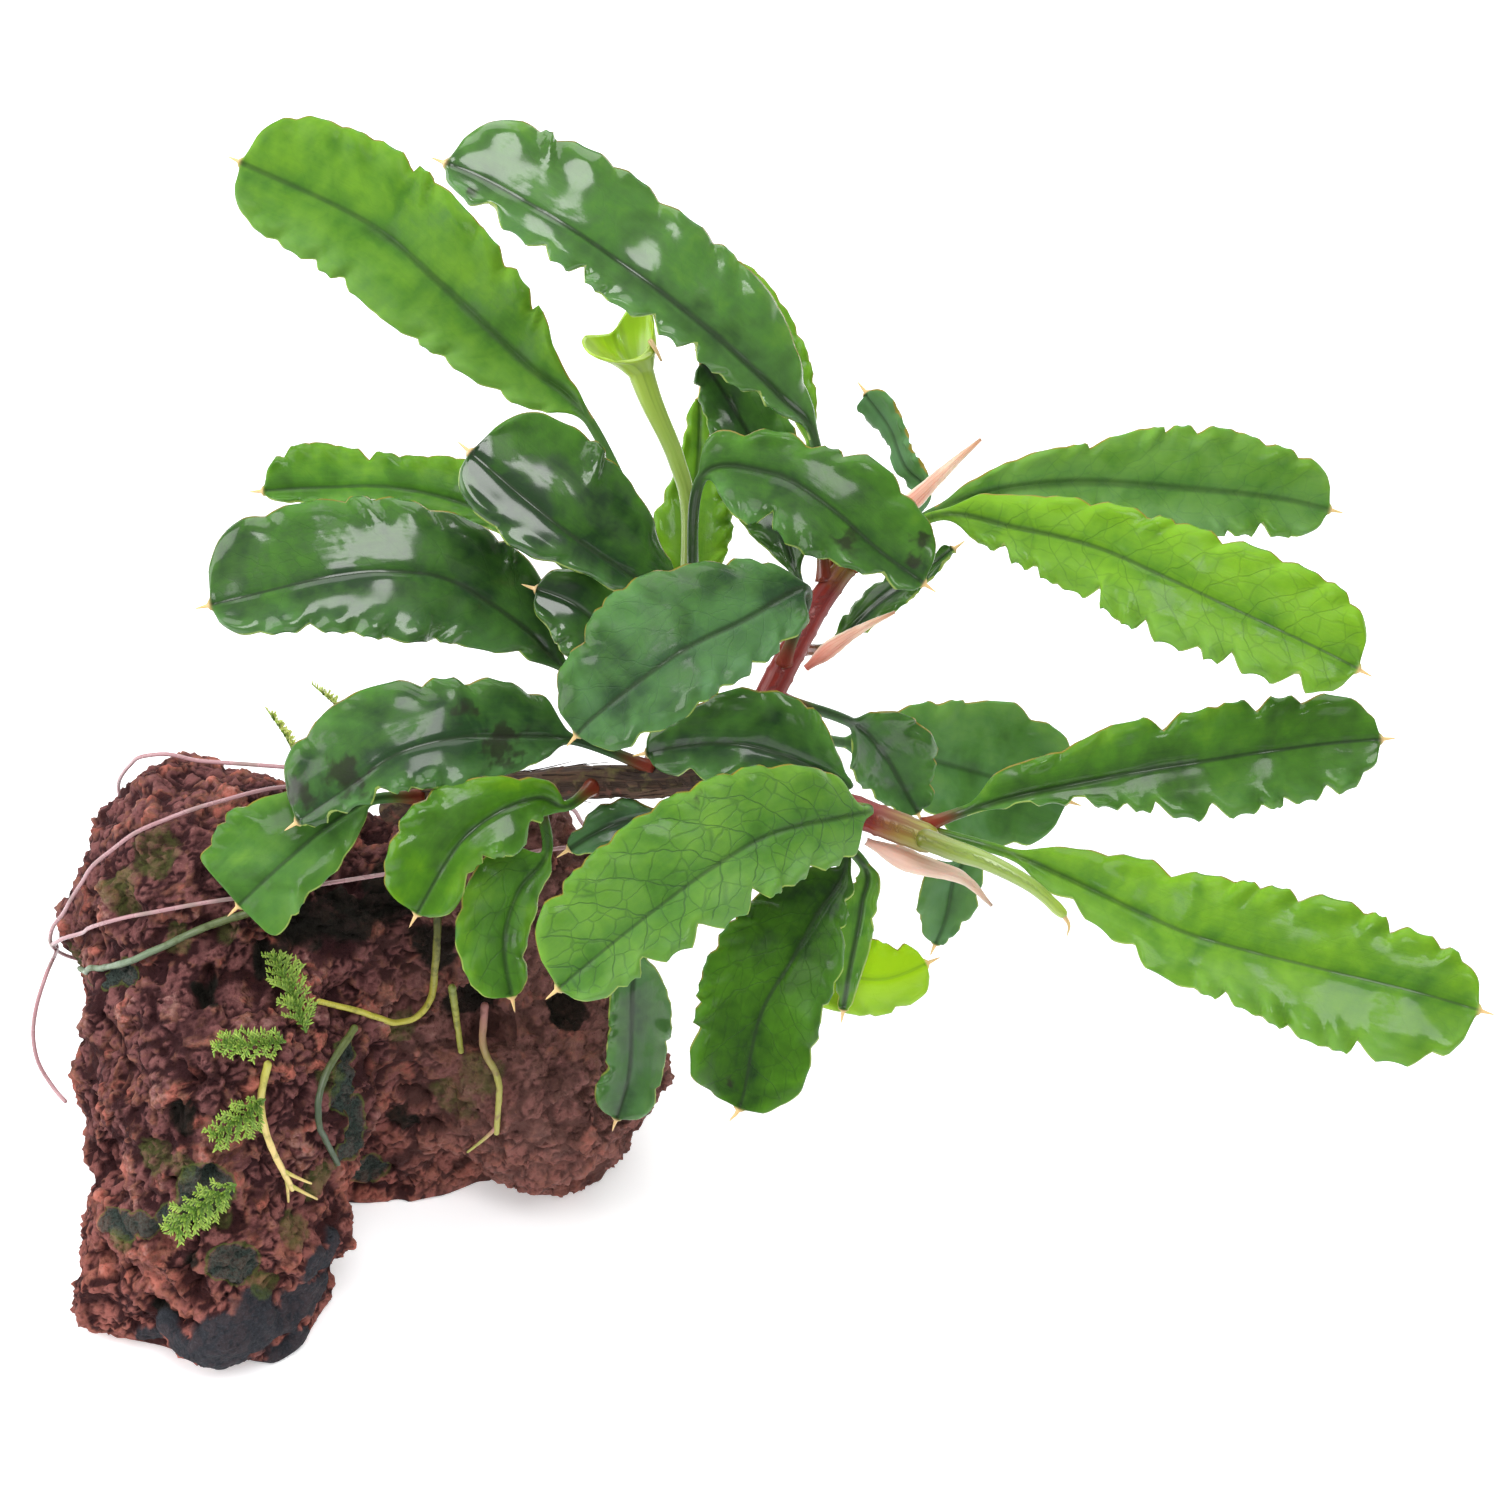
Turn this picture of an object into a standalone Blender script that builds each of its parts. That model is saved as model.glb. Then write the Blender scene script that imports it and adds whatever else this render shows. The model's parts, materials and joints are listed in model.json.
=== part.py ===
"""A small water plant, a wavy-leaved bucephalandra, growing on a piece of red lava rock.

The plant creeps over the rock on a rhizome that forks into three leafy shoots. Metres, +Z up, with the
origin in the middle of the flat broken face that the rock stands on.
"""

import math
from collections import namedtuple

import bmesh
import bpy
from mathutils import Matrix, Vector, geometry, noise
from mathutils.bvhtree import BVHTree

MM = 0.001
WELD = 0.001 * MM

# The view in which the places of the pieces were read: from the front, looking down at the plant.
VIEW_TILT = math.radians(45)
VIEW_DISTANCE = 500 * MM
VIEW_CENTRE = Vector((42 * MM, 8 * MM, 55 * MM))
PHOTO_MIDDLE = 750
PIXEL = 0.1 * MM
RIGHT = Vector((1, 0, 0))
UP = Vector((0, math.sin(VIEW_TILT), math.cos(VIEW_TILT)))
NEARER = Vector((0, -math.cos(VIEW_TILT), math.sin(VIEW_TILT)))

# The rock.
ROCK_VOXEL = 1.3 * MM
ROCK_TRIANGLES = 2780
ROCK_LUMP_DEPTH = 1.8 * MM
ROCK_LUMP_SPACING = 8 * MM
ROCK_PIT_DEPTH = 2.4 * MM
ROCK_PIT_SPACING = 6.5 * MM
ROCK_PIT_REACH = 0.45

# The stems, roots and line.
GAP = 0.35 * MM
STEM_STEP = 3.5 * MM
SHOOT_COLLAR = 1.2 * MM
PETIOLE_WIDTH = 1.1 * MM
PETIOLE_THICKNESS = 1.0 * MM
PETIOLE_LIFT = GAP + PETIOLE_THICKNESS / 3
ROOT_RADIUS = 0.4 * MM
ROOT_TIP_RADIUS = 0.28 * MM
ROOT_STEP = 2.5 * MM
LINE_RADIUS = 0.2 * MM
LINE_LIFT = LINE_RADIUS + 0.85 * MM
LINE_SPACING = 3.2 * MM

# The leaves.
BLADE_THICKNESS = 0.6 * MM
MIDRIB_THICKNESS = 0.3 * MM
WAVE_LENGTH = 4.0 * MM
WAVE_HEIGHT = 0.10
WAVE_SCALLOP = 0.07
TIP_FROM = 0.83
TIP_ROUNDNESS = 3.0
BLUNT_TIP_ROUNDNESS = 14
LAST_ROW = 0.955
AWN_LENGTH = 1.6 * MM
AWN_WIDTH = 0.5 * MM
PETIOLE_ROWS = 3
LEAF_LINE_POINTS = 240

Finish = namedtuple("Finish", "name colour roughness")
ROCK = Finish("lava rock", (0.20, 0.07, 0.05), 0.9)
BARK = Finish("rhizome bark", (0.14, 0.07, 0.04), 0.7)
RED_STEM = Finish("red stem", (0.45, 0.08, 0.06), 0.45)
DARK_LEAF = Finish("dark leaf", (0.02, 0.12, 0.03), 0.3)
BRIGHT_LEAF = Finish("bright leaf", (0.08, 0.30, 0.03), 0.35)
YOUNG_LEAF = Finish("young leaf", (0.25, 0.50, 0.04), 0.4)
SHEATH = Finish("pink sheath", (0.75, 0.40, 0.32), 0.5)
ROOT = Finish("root", (0.42, 0.45, 0.10), 0.6)
MOSS = Finish("moss", (0.18, 0.35, 0.06), 0.8)
LINE = Finish("tie line", (0.55, 0.38, 0.38), 0.25)

# Lumps that make up the rock, in millimetres: centre, then half sizes along X, Y and Z.
RockLump = namedtuple("RockLump", "centre half_size")
ROCK_LUMPS = (
    RockLump((-13, 9, 30), (16, 16, 18)),
    RockLump((-12, -4, 20), (16.5, 17, 18)),
    RockLump((-13, -15, 9), (14, 13.5, 14)),
    RockLump((-1, 8, 24), (14, 14, 17)),
    RockLump((20, 3, 12.5), (13.5, 13, 14)),
    RockLump((9, 8, 15), (15, 14, 15)),
    RockLump((-9, 17, 11), (14, 12, 15)),
    RockLump((3, 5, 4), (20, 12, 9)),
    RockLump((15, 9, 31), (13, 11, 16.5)),
    RockLump((-11, -21, 5), (8.5, 9.5, 9)),
    RockLump((-20, -17, 6), (9, 9.5, 9)),
)

# Every place below is (pixels across, pixels down, millimetres nearer the eye than the view's centre).
Stem = namedtuple("Stem", "parent at resting free radii")
STEMS = {
    "rhizome": Stem(None, 0, ((398, 812, -9), (455, 800, -5), (515, 790, -4)),
                    ((585, 782, -1), (650, 782, 1), (712, 774, 2)), (1.5, 1.7)),
    "shoot_right": Stem(None, 0, (),
                        ((722, 777, 2), (762, 785, 4), (810, 798, 5), (862, 814, 6), (925, 838, 7)),
                        (1.7, 1.5)),
    "shoot_left": Stem("rhizome", 0.84, (), ((672, 715, -3), (688, 672, -4), (694, 622, -5)), (1.5, 1.2)),
    "shoot_upper": Stem("shoot_right", 0.12, (),
                        ((765, 706, 3), (790, 655, 3), (825, 594, 2), (862, 548, 0)), (1.6, 1.1)),
}

# A leaf's line runs from the foot of its blade to its tip. Its left and right are the blade's half widths
# in millimetres at WIDTH_STATIONS, to the left and the right of the way that it grows. Its fold is how far
# its left and right margins rise above the midrib, per half width.
WIDTH_STATIONS = (0.1, 0.25, 0.4, 0.55, 0.7, 0.85)
Leaf = namedtuple("Leaf", "name stem at line left right roll twist fold finish")
LEAVES = (
    # Leaves of the left shoot.
    Leaf("leaf_glossy_left", "shoot_left", 0.76,
         ((676, 602, 2), (630, 574, 5), (575, 538, 8), (530, 503, 9), (457, 441, 10)),
         (1.2, 2.4, 2.6, 4.0, 4.7, 4.3), (3.4, 6.2, 8.0, 8.8, 9.2, 8.2), -8, 0, (-0.02, -0.12), DARK_LEAF),
    Leaf("leaf_far_left", "shoot_left", 0.42,
         ((572, 672, -5), (530, 632, -3), (460, 585, 0), (405, 572, 2), (330, 577, 3), (194, 609, 3)),
         (2.2, 4.8, 6.6, 7.3, 5.9, 4.7), (2.8, 5.8, 6.6, 7.7, 8.1, 8.0), -6, 0, (0.08, -0.14), DARK_LEAF),
    Leaf("leaf_left_small", "shoot_left", 0.28,
         ((625, 662, -1), (600, 627, 1), (570, 602, 2), (521, 584, 2)),
         (1.5, 3.5, 4.5, 4.5, 4.0, 3.0), (1.5, 3.4, 4.3, 4.2, 3.8, 2.8), 0, 0, (0.12, 0.12), DARK_LEAF),
    Leaf("leaf_spotted", "shoot_left", 0.96,
         ((700, 481, 9), (770, 473, 12), (830, 508, 13), (880, 552, 12), (937, 593, 11)),
         (3.4, 4.2, 4.7, 6.4, 6.4, 5.6), (3.1, 5.7, 5.2, 5.8, 4.1, 2.6), 8, 0, (0.02, 0.12), DARK_LEAF),
    Leaf("leaf_pale_upper_left", "shoot_left", 0.98,
         ((592, 425, -13), (525, 362, -16), (440, 283, -19), (365, 221, -22), (227, 156, -25)),
         (3.0, 5.0, 6.2, 7.0, 7.0, 6.3), (1.6, 5.2, 7.0, 7.7, 8.3, 7.8), 5, 0, (0.12, 0.12), BRIGHT_LEAF),
    Leaf("leaf_far_left_back", "shoot_left", 0.58,
         ((560, 560, -9), (480, 510, -12), (400, 488, -12), (330, 487, -14), (248, 492, -15)),
         (1.2, 1.5, 2.0, 2.1, 2.1, 1.8), (1.2, 3.9, 4.5, 3.6, 4.0, 4.8), -12, 0, (0.10, 0.10), BRIGHT_LEAF),
    Leaf("leaf_upright_young", "shoot_left", 0.88,
         ((692, 592, -8), (693, 520, -9), (699, 450, -11), (700, 384, -12)),
         (2.6, 4.0, 4.0, 2.7, 2.0, 1.6), (2.6, 4.0, 4.1, 2.8, 2.0, 1.6), 0, 0, (0.10, 0.10), BRIGHT_LEAF),
    # Leaves of the upper shoot.
    Leaf("leaf_crest", "shoot_upper", 0.78,
         ((815, 442, 3), (780, 396, 6), (710, 331, 10), (610, 255, 13), (500, 187, 15), (430, 157, 15)),
         (1.4, 2.8, 3.6, 4.0, 3.9, 3.6), (2.8, 6.4, 7.7, 7.9, 8.3, 7.5), -6, 0, (0.12, -0.20), DARK_LEAF),
    Leaf("leaf_behind_spotted", "shoot_upper", 0.60,
         ((797, 578, -2), (765, 470, -5), (735, 410, -5), (694, 348, -4)),
         (1.6, 3.6, 4.4, 4.2, 3.6, 2.8), (1.6, 3.6, 4.6, 4.6, 4.0, 3.0), 5, 0, (0.14, 0.14), DARK_LEAF),
    Leaf("leaf_centre", "shoot_upper", 0.42,
         ((806, 590, 11), (744, 620, 17), (680, 652, 21), (600, 712, 21), (566, 747, 20)),
         (3.4, 4.4, 5.2, 5.4, 5.6, 4.8), (4.0, 6.6, 7.5, 8.5, 8.3, 6.4), -4, 0, (0.12, -0.08), DARK_LEAF),
    Leaf("leaf_twisted", "shoot_upper", 0.94,
         ((925, 500, -9), (905, 465, -11), (890, 425, -13), (857, 381, -14)),
         (1.0, 1.7, 1.5, 1.6, 2.1, 2.6), (1.0, 2.1, 1.9, 1.8, 2.2, 2.6), 38, 10, (0.10, 0.10), DARK_LEAF),
    Leaf("leaf_narrow_dark", "shoot_upper", 0.50,
         ((832, 645, -3), (885, 600, -6), (966, 540, -7)),
         (1.0, 2.0, 2.5, 2.5, 2.0, 1.2), (1.0, 2.0, 2.5, 2.5, 2.0, 1.2), 40, 0, (0.12, 0.12), DARK_LEAF),
    Leaf("leaf_back_petioled", "shoot_upper", 0.28,
         ((850, 722, -4), (882, 752, -8), (902, 785, -11), (924, 825, -13)),
         (2.0, 3.9, 4.9, 5.1, 4.5, 3.1), (2.0, 3.9, 4.1, 3.9, 3.3, 2.4), 8, 0, (0.16, 0.16), DARK_LEAF),
    Leaf("leaf_behind_crest", "shoot_upper", 0.88,
         ((812, 447, -10), (794, 370, -12), (768, 310, -13), (728, 252, -14)),
         (1.0, 2.0, 2.6, 2.6, 2.2, 1.6), (0.9, 1.6, 1.9, 1.9, 1.8, 1.5), -8, 0, (0.12, 0.12), BRIGHT_LEAF),
    Leaf("leaf_right_top", "shoot_upper", 0.98,
         ((933, 513, -2), (983, 494, -4), (1042, 484, -5),
          (1116, 483, -7), (1264, 496, -10), (1344, 513, -12)),
         (1.5, 3.2, 4.2, 6.1, 6.6, 5.4), (1.0, 2.0, 3.0, 4.1, 4.7, 4.2), -6, 0, (0.08, 0.08), BRIGHT_LEAF),
    Leaf("leaf_right_bright", "shoot_upper", 0.90,
         ((936, 516, 5), (1017, 528, 7), (1096, 547, 9), (1165, 577, 11), (1313, 646, 13), (1373, 677, 13)),
         (2.6, 3.9, 4.9, 5.9, 6.6, 6.6), (2.3, 4.4, 5.4, 6.3, 5.9, 5.3), 4, 0, (0.08, 0.08), BRIGHT_LEAF),
    Leaf("leaf_back_broad", "shoot_upper", 0.14,
         ((840, 742, -14), (900, 752, -20), (960, 768, -25), (1020, 785, -28), (1082, 806, -29)),
         (2.1, 4.4, 6.3, 7.3, 8.2, 7.1), (1.3, 2.6, 4.2, 6.5, 7.6, 6.5), 0, 0, (0.10, 0.10), BRIGHT_LEAF),
    # Leaves of the right shoot.
    Leaf("leaf_centre_under", "shoot_right", 0.42,
         ((848, 785, 9), (800, 762, 10), (744, 745, 11), (690, 745, 10), (632, 756, 8)),
         (1.2, 2.2, 3.0, 3.5, 3.7, 3.0), (2.0, 5.1, 6.0, 5.9, 4.4, 2.9), 8, 0, (0.10, 0.10), DARK_LEAF),
    Leaf("leaf_front_down", "shoot_right", 0.50,
         ((846, 862, 7), (816, 916, 11), (792, 960, 14), (760, 1016, 14), (742, 1100, 12), (729, 1122, 12)),
         (2.0, 3.3, 4.9, 5.5, 6.2, 5.8), (3.2, 5.4, 7.0, 7.4, 6.4, 5.9), 2, 0, (0.06, 0.12), DARK_LEAF),
    Leaf("leaf_behind_front", "shoot_right", 0.32,
         ((862, 862, -1), (862, 905, -2), (852, 960, -3), (841, 1024, -5)),
         (1.2, 1.6, 1.7, 1.6, 1.4, 1.1), (1.2, 2.0, 2.4, 2.4, 2.0, 1.2), -10, 0, (0.10, 0.10), DARK_LEAF),
    Leaf("leaf_back_low", "shoot_right", 0.74,
         ((958, 850, -10), (952, 885, -13), (945, 920, -16), (930, 956, -18)),
         (1.8, 2.8, 3.1, 2.9, 2.3, 1.5), (2.2, 2.9, 3.3, 3.5, 3.3, 2.3), 10, 0, (0.12, 0.12), DARK_LEAF),
    Leaf("leaf_right_middle", "shoot_right", 0.97,
         ((962, 812, 5), (1017, 796, 5), (1096, 780, 5), (1165, 767, 5), (1313, 745, 2), (1397, 738, 1)),
         (2.8, 3.8, 5.3, 5.3, 5.6, 5.2), (1.0, 2.1, 4.0, 6.0, 5.9, 5.5), -6, 0, (0.04, 0.10), BRIGHT_LEAF),
    Leaf("leaf_right_low", "shoot_right", 0.88,
         ((1002, 851, 5), (1067, 878, 7), (1141, 913, 10),
          (1215, 942, 13), (1412, 991, 15), (1495, 1015, 15)),
         (2.6, 4.9, 6.1, 6.8, 7.1, 5.9), (1.8, 3.3, 5.0, 5.8, 7.4, 7.6), 4, 0, (-0.04, 0.10), BRIGHT_LEAF),
    Leaf("leaf_front_broad", "shoot_right", 0.60,
         ((866, 812, 12), (776, 832, 21), (712, 868, 24), (652, 912, 24), (592, 960, 24), (545, 1000, 24)),
         (4.0, 4.9, 5.6, 5.6, 5.0, 4.2), (4.0, 6.0, 7.3, 8.1, 8.1, 7.5), 0, 0, (0.10, -0.02), BRIGHT_LEAF),
    Leaf("leaf_young_bright", "shoot_right", 0.20,
         ((775, 930, -4), (815, 962, -7), (850, 976, -8), (890, 978, -8), (941, 957, -8)),
         (1.0, 2.2, 3.2, 3.8, 4.2, 3.5), (1.5, 3.0, 3.8, 3.8, 3.8, 3.2), 0, 0, (0.08, 0.08), YOUNG_LEAF),
    # Leaves that grow straight from the rhizome.
    Leaf("leaf_over_rock", "rhizome", 0.84,
         ((575, 740, 2), (504, 736, 6), (450, 739, 9), (396, 755, 10), (353, 784, 10), (284, 831, 9)),
         (2.2, 3.9, 4.9, 4.5, 3.5, 2.2), (4.3, 5.8, 6.2, 7.1, 7.7, 7.0), -6, 0, (0.10, -0.16), DARK_LEAF),
    Leaf("leaf_drooping", "rhizome", 0.12,
         ((372, 800, -1), (330, 825, 2), (285, 862, 3), (227, 917, 3)),
         (1.5, 2.8, 4.0, 4.2, 4.4, 5.2), (2.5, 4.5, 5.5, 6.8, 7.6, 6.9), -10, 0, (0.10, 0.10), DARK_LEAF),
    Leaf("leaf_curled_small", "rhizome", 0.66,
         ((566, 806, 5), (540, 798, 7), (504, 809, 9), (468, 834, 10), (443, 867, 10), (409, 928, 9)),
         (1.9, 3.4, 4.6, 3.6, 2.8, 3.2), (1.6, 2.6, 4.1, 5.7, 6.1, 5.3), 4, 0, (0.12, 0.12), DARK_LEAF),
    Leaf("leaf_tucked", "rhizome", 0.92,
         ((660, 812, 1), (620, 822, 0), (590, 836, 0), (556, 858, 0)),
         (1.0, 2.0, 2.5, 2.5, 2.2, 1.6), (1.0, 2.0, 2.4, 2.4, 2.0, 1.4), 0, 0, (0.12, 0.12), DARK_LEAF),
    Leaf("leaf_hanging", "rhizome", 0.98,
         ((642, 930, -3), (633, 980, -6), (631, 1030, -9), (628, 1080, -11), (612, 1132, -13)),
         (0.9, 2.8, 4.0, 4.2, 3.7, 3.4), (0.9, 2.2, 2.4, 2.5, 2.6, 3.2), 10, 0, (0.12, 0.12), DARK_LEAF),
    Leaf("leaf_small_hanging", "rhizome", 0.48,
         ((547, 852, 3), (518, 892, 5), (504, 946, 6), (515, 1013, 6)),
         (1.4, 2.0, 2.5, 2.4, 2.3, 2.1), (2.8, 4.5, 5.0, 5.1, 4.8, 3.9), 6, 0, (0.10, 0.10), BRIGHT_LEAF),
)
BLUNT_LEAVES = ("leaf_drooping",)

# Sheaths and the furled leaf: places, then radii in millimetres.
Horn = namedtuple("Horn", "name places radii finish")
HORNS = (
    Horn("sheath_upper_tip", ((880, 532, 0), (912, 502, 1), (948, 468, 2), (981, 439, 2)),
         (1.1, 0.95, 0.6, 0.15), SHEATH),
    Horn("sheath_upper_low", ((806, 668, 6), (838, 643, 7), (868, 625, 8), (895, 612, 8)),
         (1.2, 0.85, 0.45, 0.12), SHEATH),
    Horn("sheath_right", ((866, 846, 5), (912, 868, 4), (962, 882, 3), (992, 908, 3)),
         (1.3, 1.2, 0.75, 0.12), SHEATH),
    Horn("leaf_furled_right", ((948, 851, 10), (990, 864, 11), (1032, 886, 11), (1062, 913, 10)),
         (1.25, 1.15, 0.95, 0.7), YOUNG_LEAF),
)

# Roots that cling to the rock, as the pixels that they pass.
ROOTS = {
    "root_front": ((441, 890), (438, 960), (428, 1000), (400, 1022), (360, 1012), (318, 1003)),
    "root_lower_left": ((268, 1064), (262, 1100), (268, 1140), (292, 1194)),
    "root_pink_right": ((484, 1004), (486, 1050), (500, 1080), (499, 1130)),
    "root_short_right": ((452, 985), (456, 1026), (462, 1056)),
    "root_dark_loop": ((352, 1030), (322, 1075), (318, 1120), (338, 1165)),
    "root_left_edge": ((262, 908), (205, 925), (130, 962), (84, 968)),
}

# Moss: the pixels at the foot and the tip of each sprig, and its width in millimetres.
MOSS_SPRIGS = {
    "moss_frond_top": ((306, 1034), (268, 950), 4.4),
    "moss_frond_side": ((282, 1044), (210, 1048), 3.4),
    "moss_frond_low": ((262, 1100), (204, 1138), 4.0),
    "moss_mat_low": ((238, 1180), (176, 1226), 4.6),
}
SPRIG_THICKNESS = 0.9 * MM
SPRIG_END = 0.3
MOSS_TUFTS = {
    "moss_tuft_back": ((322, 735, -17), (266, 708, -17), 3.0),
    "moss_tuft_high": ((398, 712, -17), (312, 684, -17), 3.0),
}

# The tie line's turns, top one first: two pixels that a turn passes on the rock's face, a place behind the
# rock in millimetres, and how far the turn stands off.
Turn = namedtuple("Turn", "first second behind stand_off")
LINE_TURNS = (
    Turn((190, 764), (300, 796), (0, 28, 9), 1.2),
    Turn((80, 898), (240, 800), (0, 28, 15), 0.6),
    Turn((86, 932), (216, 902), (0, 28, 9), 0.6),
)
LINE_STEPS = 40
LINE_CHANGE = 0.22
LINE_LAST_TURN = 0.75
LINE_BIGHT = ((46, 975, -14), (33, 1030, -15), (46, 1080, -17), (76, 1098, -15))


def seen(across, down, nearer):
    """The point that the view shows at a pixel, so many millimetres nearer than the view's centre."""
    near = nearer * MM
    spread = PIXEL * (VIEW_DISTANCE - near) / VIEW_DISTANCE
    on_plane = RIGHT * (across - PHOTO_MIDDLE) + UP * (PHOTO_MIDDLE - down)
    return VIEW_CENTRE + NEARER * near + on_plane * spread


def smooth_path(points, count):
    """count + 1 points, evenly spaced, on a smooth curve through the given ones."""
    ends = [points[0] * 2 - points[1], *points, points[-1] * 2 - points[-2]]
    fine = []
    for before, start, end, after in zip(ends, ends[1:], ends[2:], ends[3:]):
        out, into = start + (end - before) / 6, end - (after - start) / 6
        fine += geometry.interpolate_bezier(start, out, into, end, 25)[:-1]
    fine.append(points[-1])
    lengths = [0.0]
    for a, b in zip(fine, fine[1:]):
        lengths.append(lengths[-1] + (b - a).length)
    path = []
    k = 0
    for n in range(count + 1):
        want = lengths[-1] * n / count
        while k < len(fine) - 2 and lengths[k + 1] < want:
            k += 1
        share = (want - lengths[k]) / max(lengths[k + 1] - lengths[k], 1e-9)
        path.append(fine[k].lerp(fine[k + 1], min(share, 1.0)))
    return path


def path_length(points):
    return sum((b - a).length for a, b in zip(points, points[1:]))


def material(finish):
    found = bpy.data.materials.get(finish.name)
    if found:
        return found
    made = bpy.data.materials.new(finish.name)
    made.use_nodes = True
    shader = made.node_tree.nodes["Principled BSDF"]
    shader.inputs["Base Color"].default_value = (*finish.colour, 1)
    shader.inputs["Roughness"].default_value = finish.roughness
    shader.inputs["Metallic"].default_value = 0
    return made


def add_object(name, data, finish):
    obj = bpy.data.objects.new(name, data)
    data.materials.append(material(finish))
    bpy.context.scene.collection.objects.link(obj)
    return obj


def add_mesh(name, bm, finish):
    mesh = bpy.data.meshes.new(name)
    bm.to_mesh(mesh)
    bm.free()
    mesh.shade_smooth()
    return add_object(name, mesh, finish)


def tube(name, points, radii, finish, bevel_resolution=1):
    """A round bar along points, whose radius runs through radii."""
    curve = bpy.data.curves.new(name, "CURVE")
    curve.dimensions = "3D"
    curve.bevel_depth = MM
    curve.bevel_resolution = bevel_resolution
    curve.use_fill_caps = True
    spline = curve.splines.new("POLY")
    spline.points.add(len(points) - 1)
    for k, (spot, point) in enumerate(zip(spline.points, points)):
        place = k / (len(points) - 1) * (len(radii) - 1)
        low = min(int(place), len(radii) - 2)
        spot.co = (*point, 1)
        spot.radius = radii[low] + (radii[low + 1] - radii[low]) * (place - low)
    return add_object(name, curve, finish)


def rock_blank():
    """The rock's lumps, fused into one rounded body."""
    bm = bmesh.new()
    for lump in ROCK_LUMPS:
        size = Matrix.Diagonal((*[half * MM for half in lump.half_size], 1))
        place = Matrix.Translation([c * MM for c in lump.centre])
        bmesh.ops.create_icosphere(bm, subdivisions=3, radius=1, matrix=place @ size)
    blank = add_mesh("rock_blank", bm, ROCK)
    remesh = blank.modifiers.new("fuse", "REMESH")
    remesh.mode = "VOXEL"
    remesh.voxel_size = ROCK_VOXEL
    smooth = blank.modifiers.new("soften", "SMOOTH")
    smooth.iterations = 3
    return taken_mesh(blank)


def taken_mesh(obj):
    """The object's mesh with its modifiers applied; the object itself goes."""
    graph = bpy.context.evaluated_depsgraph_get()
    mesh = bpy.data.meshes.new_from_object(obj.evaluated_get(graph))
    bpy.data.objects.remove(obj)
    return mesh


def roughened(mesh):
    """Lumps and pits of lava on the fused body."""
    bm = bmesh.new()
    bm.from_mesh(mesh)
    bm.normal_update()
    shifts = []
    for vert in bm.verts:
        lump = noise.noise(vert.co / ROCK_LUMP_SPACING)
        nearest = noise.voronoi(vert.co / ROCK_PIT_SPACING)[0][0]
        pit = max(0.0, 1 - nearest / ROCK_PIT_REACH)
        shifts.append(vert.normal * (ROCK_LUMP_DEPTH * lump - ROCK_PIT_DEPTH * pit))
    for vert, shift in zip(bm.verts, shifts):
        vert.co += shift
    bm.to_mesh(mesh)
    bm.free()
    return mesh


def make_rock():
    """The rock, broken off flat where it stands."""
    rough = add_object("rough_rock", roughened(rock_blank()), ROCK)
    count = sum(len(face.vertices) - 2 for face in rough.data.polygons)
    thin = rough.modifiers.new("thin", "DECIMATE")
    thin.ratio = ROCK_TRIANGLES / count
    bm = bmesh.new()
    bm.from_mesh(taken_mesh(rough))
    whole = bm.verts[:] + bm.edges[:] + bm.faces[:]
    cut = bmesh.ops.bisect_plane(bm, geom=whole, plane_co=(0, 0, 0), plane_no=(0, 0, 1), clear_inner=True)
    rim = [e for e in cut["geom_cut"] if isinstance(e, bmesh.types.BMEdge)]
    bmesh.ops.triangle_fill(bm, edges=rim, use_beauty=True, use_dissolve=False)
    bmesh.ops.recalc_face_normals(bm, faces=bm.faces[:])
    surface = BVHTree.FromBMesh(bm)
    add_mesh("lava_rock", bm, ROCK)
    return surface


def on_rock(surface, across, down, lift):
    """The point of the rock that the view shows at a pixel, lifted off it; None beside the rock."""
    eye = VIEW_CENTRE + NEARER * VIEW_DISTANCE
    ray = (seen(across, down, 0) - eye).normalized()
    point, normal, _, _ = surface.ray_cast(eye, ray)
    return point and point + (normal + NEARER).normalized() * lift


def kept_clear(surface, path, lift):
    """The path, with each point that comes closer than lift to the surface moved out to it."""
    clear = []
    for point in path:
        for _ in range(4):
            near, normal, _, distance = surface.find_nearest(point)
            if distance < lift or (point - near).dot(normal) < 0:
                point = near + normal * lift
        clear.append(point)
    return clear


def lie_on_rock(surface, pixels, lift, spacing):
    """A smooth run over the rock that keeps clear of it by lift."""
    rough = [on_rock(surface, *pixel, lift) for pixel in pixels]
    path = smooth_path(rough, max(3, round(path_length(rough) / spacing)))
    return kept_clear(surface, path, lift)


def rest_on(surface, point, lift):
    """The point of the rock nearest to a point, lifted off it."""
    near, normal, _, _ = surface.find_nearest(point)
    return near + normal * lift


def stem_point(line, at, towards, lift):
    """A point off the skin of a stem, on the side that faces what grows there, and the way out to it."""
    path, radii = line
    place = at * (len(path) - 1)
    k = min(int(place), len(path) - 2)
    centre = path[k].lerp(path[k + 1], place - k)
    along = (path[k + 1] - path[k]).normalized()
    out = towards - centre
    out = (out - along * out.dot(along)).normalized()
    radius = (radii[0] + (radii[1] - radii[0]) * at) * MM
    return centre + out * (radius + lift), out


def make_stems(surface):
    """The rhizome and its shoots, and the line that each one follows."""
    lines = {}
    for name, stem in STEMS.items():
        lift = max(stem.radii) * MM + GAP
        points = [rest_on(surface, seen(*place), lift) for place in stem.resting]
        points += [seen(*place) for place in stem.free]
        if stem.parent:
            foot, out = stem_point(lines[stem.parent], stem.at, points[0], GAP)
            points = [foot, foot + out * SHOOT_COLLAR, *points]
        path = smooth_path(points, round(path_length(points) / STEM_STEP))
        if stem.resting:
            path = kept_clear(surface, path, lift)
        tube(name, path, stem.radii, BARK if name == "rhizome" else RED_STEM)
        lines[name] = (path, stem.radii)
    return lines


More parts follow.
